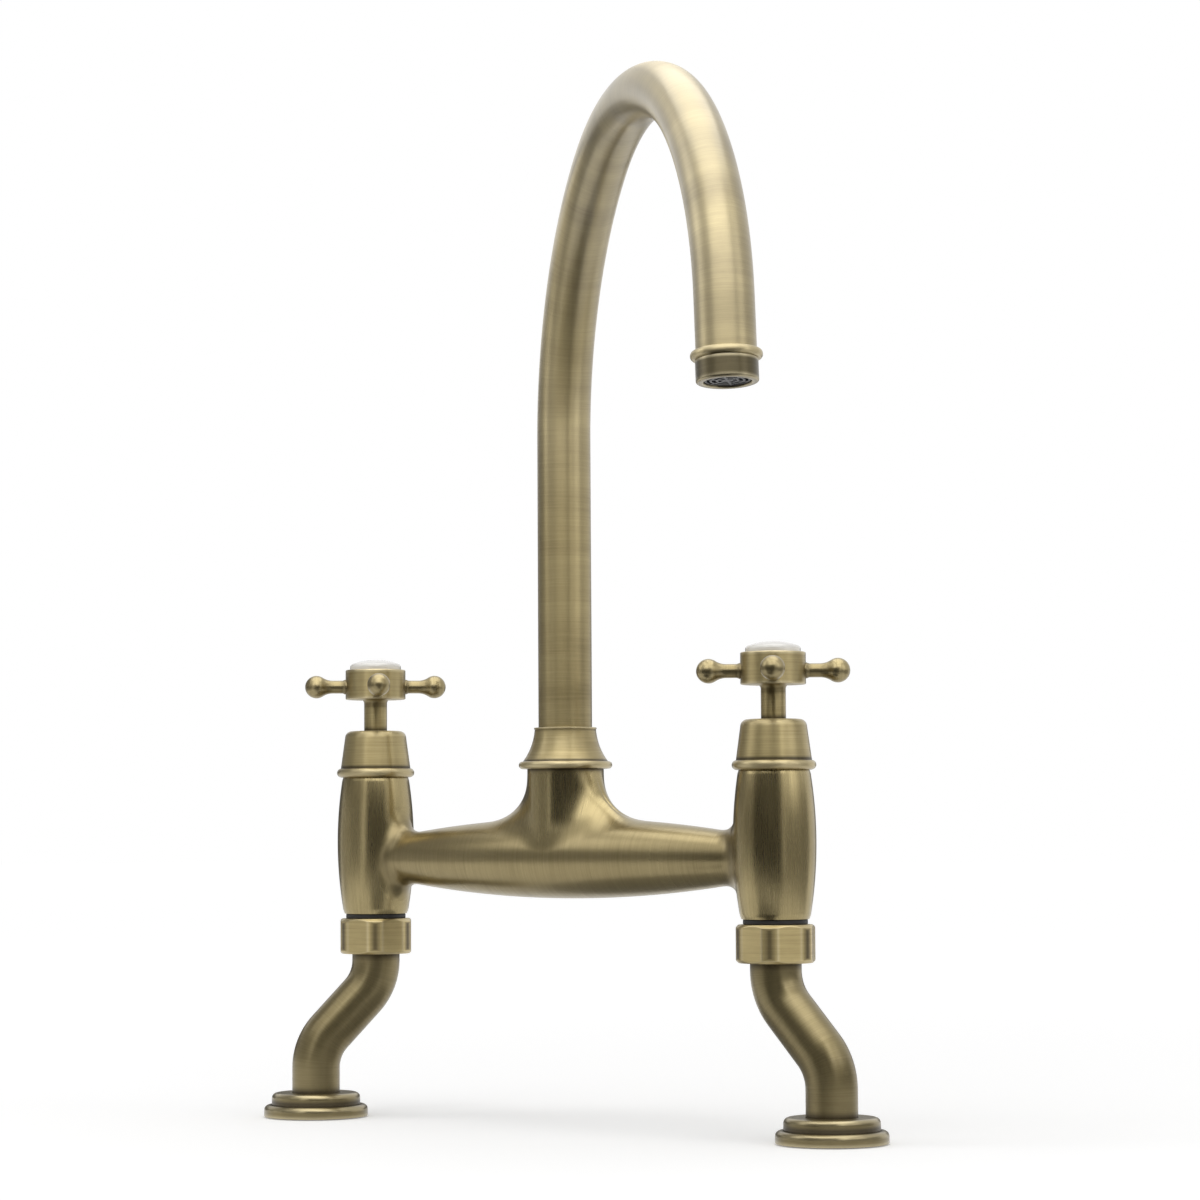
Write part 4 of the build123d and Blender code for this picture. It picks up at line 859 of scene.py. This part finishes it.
def seen_white(tree, output, plain, white):
    """Mix of two shaders: the white one wherever the camera, a reflection or a clear material looks at it."""
    start = Signal(tree)
    rays = [start.node("LightPath", out=f"Is {kind} Ray") for kind in ("Camera", "Glossy", "Transmission")]
    looked_at = rays[0].most(rays[1]).most(rays[2])
    mixed = start.node("MixShader", None, {0: looked_at, 1: plain, 2: white})
    tree.links.new(mixed.socket, tree.nodes[output].inputs["Surface"])


def surroundings():
    """White all round, which lights the tap less than it shows."""
    world = bpy.data.worlds.new("studio")
    bpy.context.scene.world = world
    world.use_nodes = True
    start = Signal(world.node_tree)
    dim, full = (start.node("Background", None, {"Color": WHITE, "Strength": power}) for power in (0.6, 1.0))
    seen_white(world.node_tree, "World Output", dim, full)


def floor_paint():
    """Pale matt floor, with a glow for the eye that grows with the distance from the tap."""
    material = bpy.data.materials.new("pale_floor")
    material.use_nodes = True
    start = Signal(material.node_tree)
    matt = start.node("BsdfDiffuse", None, {"Color": (0.88, 0.88, 0.88, 1.0)})
    spot = start.node("TexCoord", out="Object")
    far = start.node("VectorMath", {"operation": "DOT_PRODUCT"}, {0: spot, 1: spot})
    glow = start.node("Emission", None, {"Color": 0.48 - 0.29 / (far + 1.0), "Strength": 1.0})
    both = start.node("AddShader", None, {0: matt, 1: glow})
    seen_white(material.node_tree, "Material Output", matt, both)
    return material


def paint(name, shade, glow=0.0):
    """Matt grey for a card, which may glow."""
    material = bpy.data.materials.new(name)
    material.use_nodes = True
    shader = material.node_tree.nodes["Principled BSDF"]
    shader.inputs["Base Color"].default_value = (shade, shade, shade, 1.0)
    shader.inputs["Roughness"].default_value = 0.9
    shader.inputs["Emission Color"].default_value = WHITE
    shader.inputs["Emission Strength"].default_value = glow
    return material


def studio_sheet(name, points, material):
    """A grid of points as one sheet of the studio."""
    mesh = bpy.data.meshes.new(name)
    mesh.from_pydata(points.reshape(-1, 3), [], grid_faces(*points.shape[:2], (False, False)))
    mesh.materials.append(material)
    thing = bpy.data.objects.new(name, mesh)
    bpy.context.scene.collection.objects.link(thing)
    return thing


def screen(name, bearings, radii, heights, material):
    """Card bent round the tap, which shows only in reflections: (radius cos b, radius sin b, height).

    The bearing b runs from one angle to another along it, and radius and height run between its edges."""
    b = np.radians(np.linspace(*bearings, 33))[None]
    radius = np.linspace(*radii, 9)[:, None]
    height = np.linspace(*heights, 9)[:, None] + 0 * b
    card = studio_sheet(name, np.stack([radius * np.cos(b), radius * np.sin(b), height], -1), material)
    card.visible_camera = False
    card.visible_shadow = False
    card.visible_diffuse = False


def softbox(name, place, size, power):
    """Soft lamp at a place, turned to the middle of the tap."""
    data = bpy.data.lights.new(name, "AREA")
    data.shape = "RECTANGLE"
    data.size, data.size_y = size
    data.energy = power
    lamp = bpy.data.objects.new(name, data)
    bpy.context.scene.collection.objects.link(lamp)
    lamp.location = place
    lamp.rotation_euler = (Vector((0.0, 0.0, 0.2)) - Vector(place)).to_track_quat("-Z", "Y").to_euler()


surroundings()
FLOOR_REACH, FLOOR_HEIGHT = 9.0, -0.0004
floor_x, floor_y = np.meshgrid(*[np.linspace(-FLOOR_REACH, FLOOR_REACH, 9)] * 2)
studio_sheet("floor", np.stack([floor_x, floor_y, 0 * floor_x + FLOOR_HEIGHT], -1), floor_paint())

BLACK_CARD, DARK_CARD = paint("black_card", 0.015), paint("dark_card", 0.10)
GREY_CARD, PALE_CARD = paint("grey_card", 0.34), paint("pale_card", 0.55)
BRIGHT_CARD = paint("bright_card", 0.0, 2.7)
screen("screen_front", (-98, -22), (0.30, 0.30), (0.045, 0.29), BLACK_CARD)
screen("screen_low", (-98, -22), (0.49, 0.49), (0.004, 0.05), BLACK_CARD)
screen("screen_left", (-140, -104), (0.49, 0.49), (0.035, 0.30), GREY_CARD)
screen("screen_edge", (-175, -140), (0.49, 0.49), (0.035, 0.36), PALE_CARD)
# Grey disc under the tap, seen only in reflections: painted shade for the shade beneath the tap
screen("painted_shade_under_tap", (0, 360), (0.08, 0.0), (0.003, 0.003), GREY_CARD)
screen("screen_floor", (-86, -27), (0.33, 0.14), (0.003, 0.003), BLACK_CARD)
screen("screen_side", (165, 215), (0.30, 0.30), (0.16, 0.36), GREY_CARD)
screen("screen_right", (-22, 44), (0.49, 0.49), (0.004, 0.20), GREY_CARD)
screen("screen_back", (129, 180), (1.2, 1.2), (0.01, 0.36), DARK_CARD)
screen("screen_back_right", (92, 129), (1.2, 1.2), (0.01, 0.30), DARK_CARD)
screen("bright_card_front", (-92, -14), (1.30, 1.05), (0.62, 1.45), BRIGHT_CARD)
screen("bright_card_top", (0, 360), (0.95, 0.0), (1.5, 1.5), BRIGHT_CARD)
softbox("lamp_over", (0.3, -0.4, 1.7), (1.2, 1.2), 9.0)
softbox("lamp_left", (-1.3, -1.0, 0.8), (0.8, 1.5), 4.5)
softbox("lamp_right", (1.6, 0.2, 0.7), (0.7, 1.4), 3.0)

# Camera at the photograph's place

CAMERA_PLACE = (0.87982, -1.08573, 0.12052)
YAW, PITCH, ROLL = 0.6706, 0.0675, -0.0059
forward = np.array([-np.sin(YAW) * np.cos(PITCH), np.cos(YAW) * np.cos(PITCH), np.sin(PITCH)])
right = np.array([np.cos(YAW), np.sin(YAW), 0.0])
up = np.cross(right, forward)
across = np.cos(ROLL) * right + np.sin(ROLL) * up
upward = -np.sin(ROLL) * right + np.cos(ROLL) * up
camera_data = bpy.data.cameras.new("camera")
camera_data.sensor_width = 36.0
camera_data.lens = 102.0
camera = bpy.data.objects.new("camera", camera_data)
bpy.context.scene.collection.objects.link(camera)
facing = np.stack([across, upward, -forward], -1)
camera.matrix_world = Matrix.Translation(CAMERA_PLACE) @ Matrix(facing.tolist()).to_4x4()
bpy.context.scene.camera = camera

bpy.context.scene.view_settings.view_transform = "Standard"
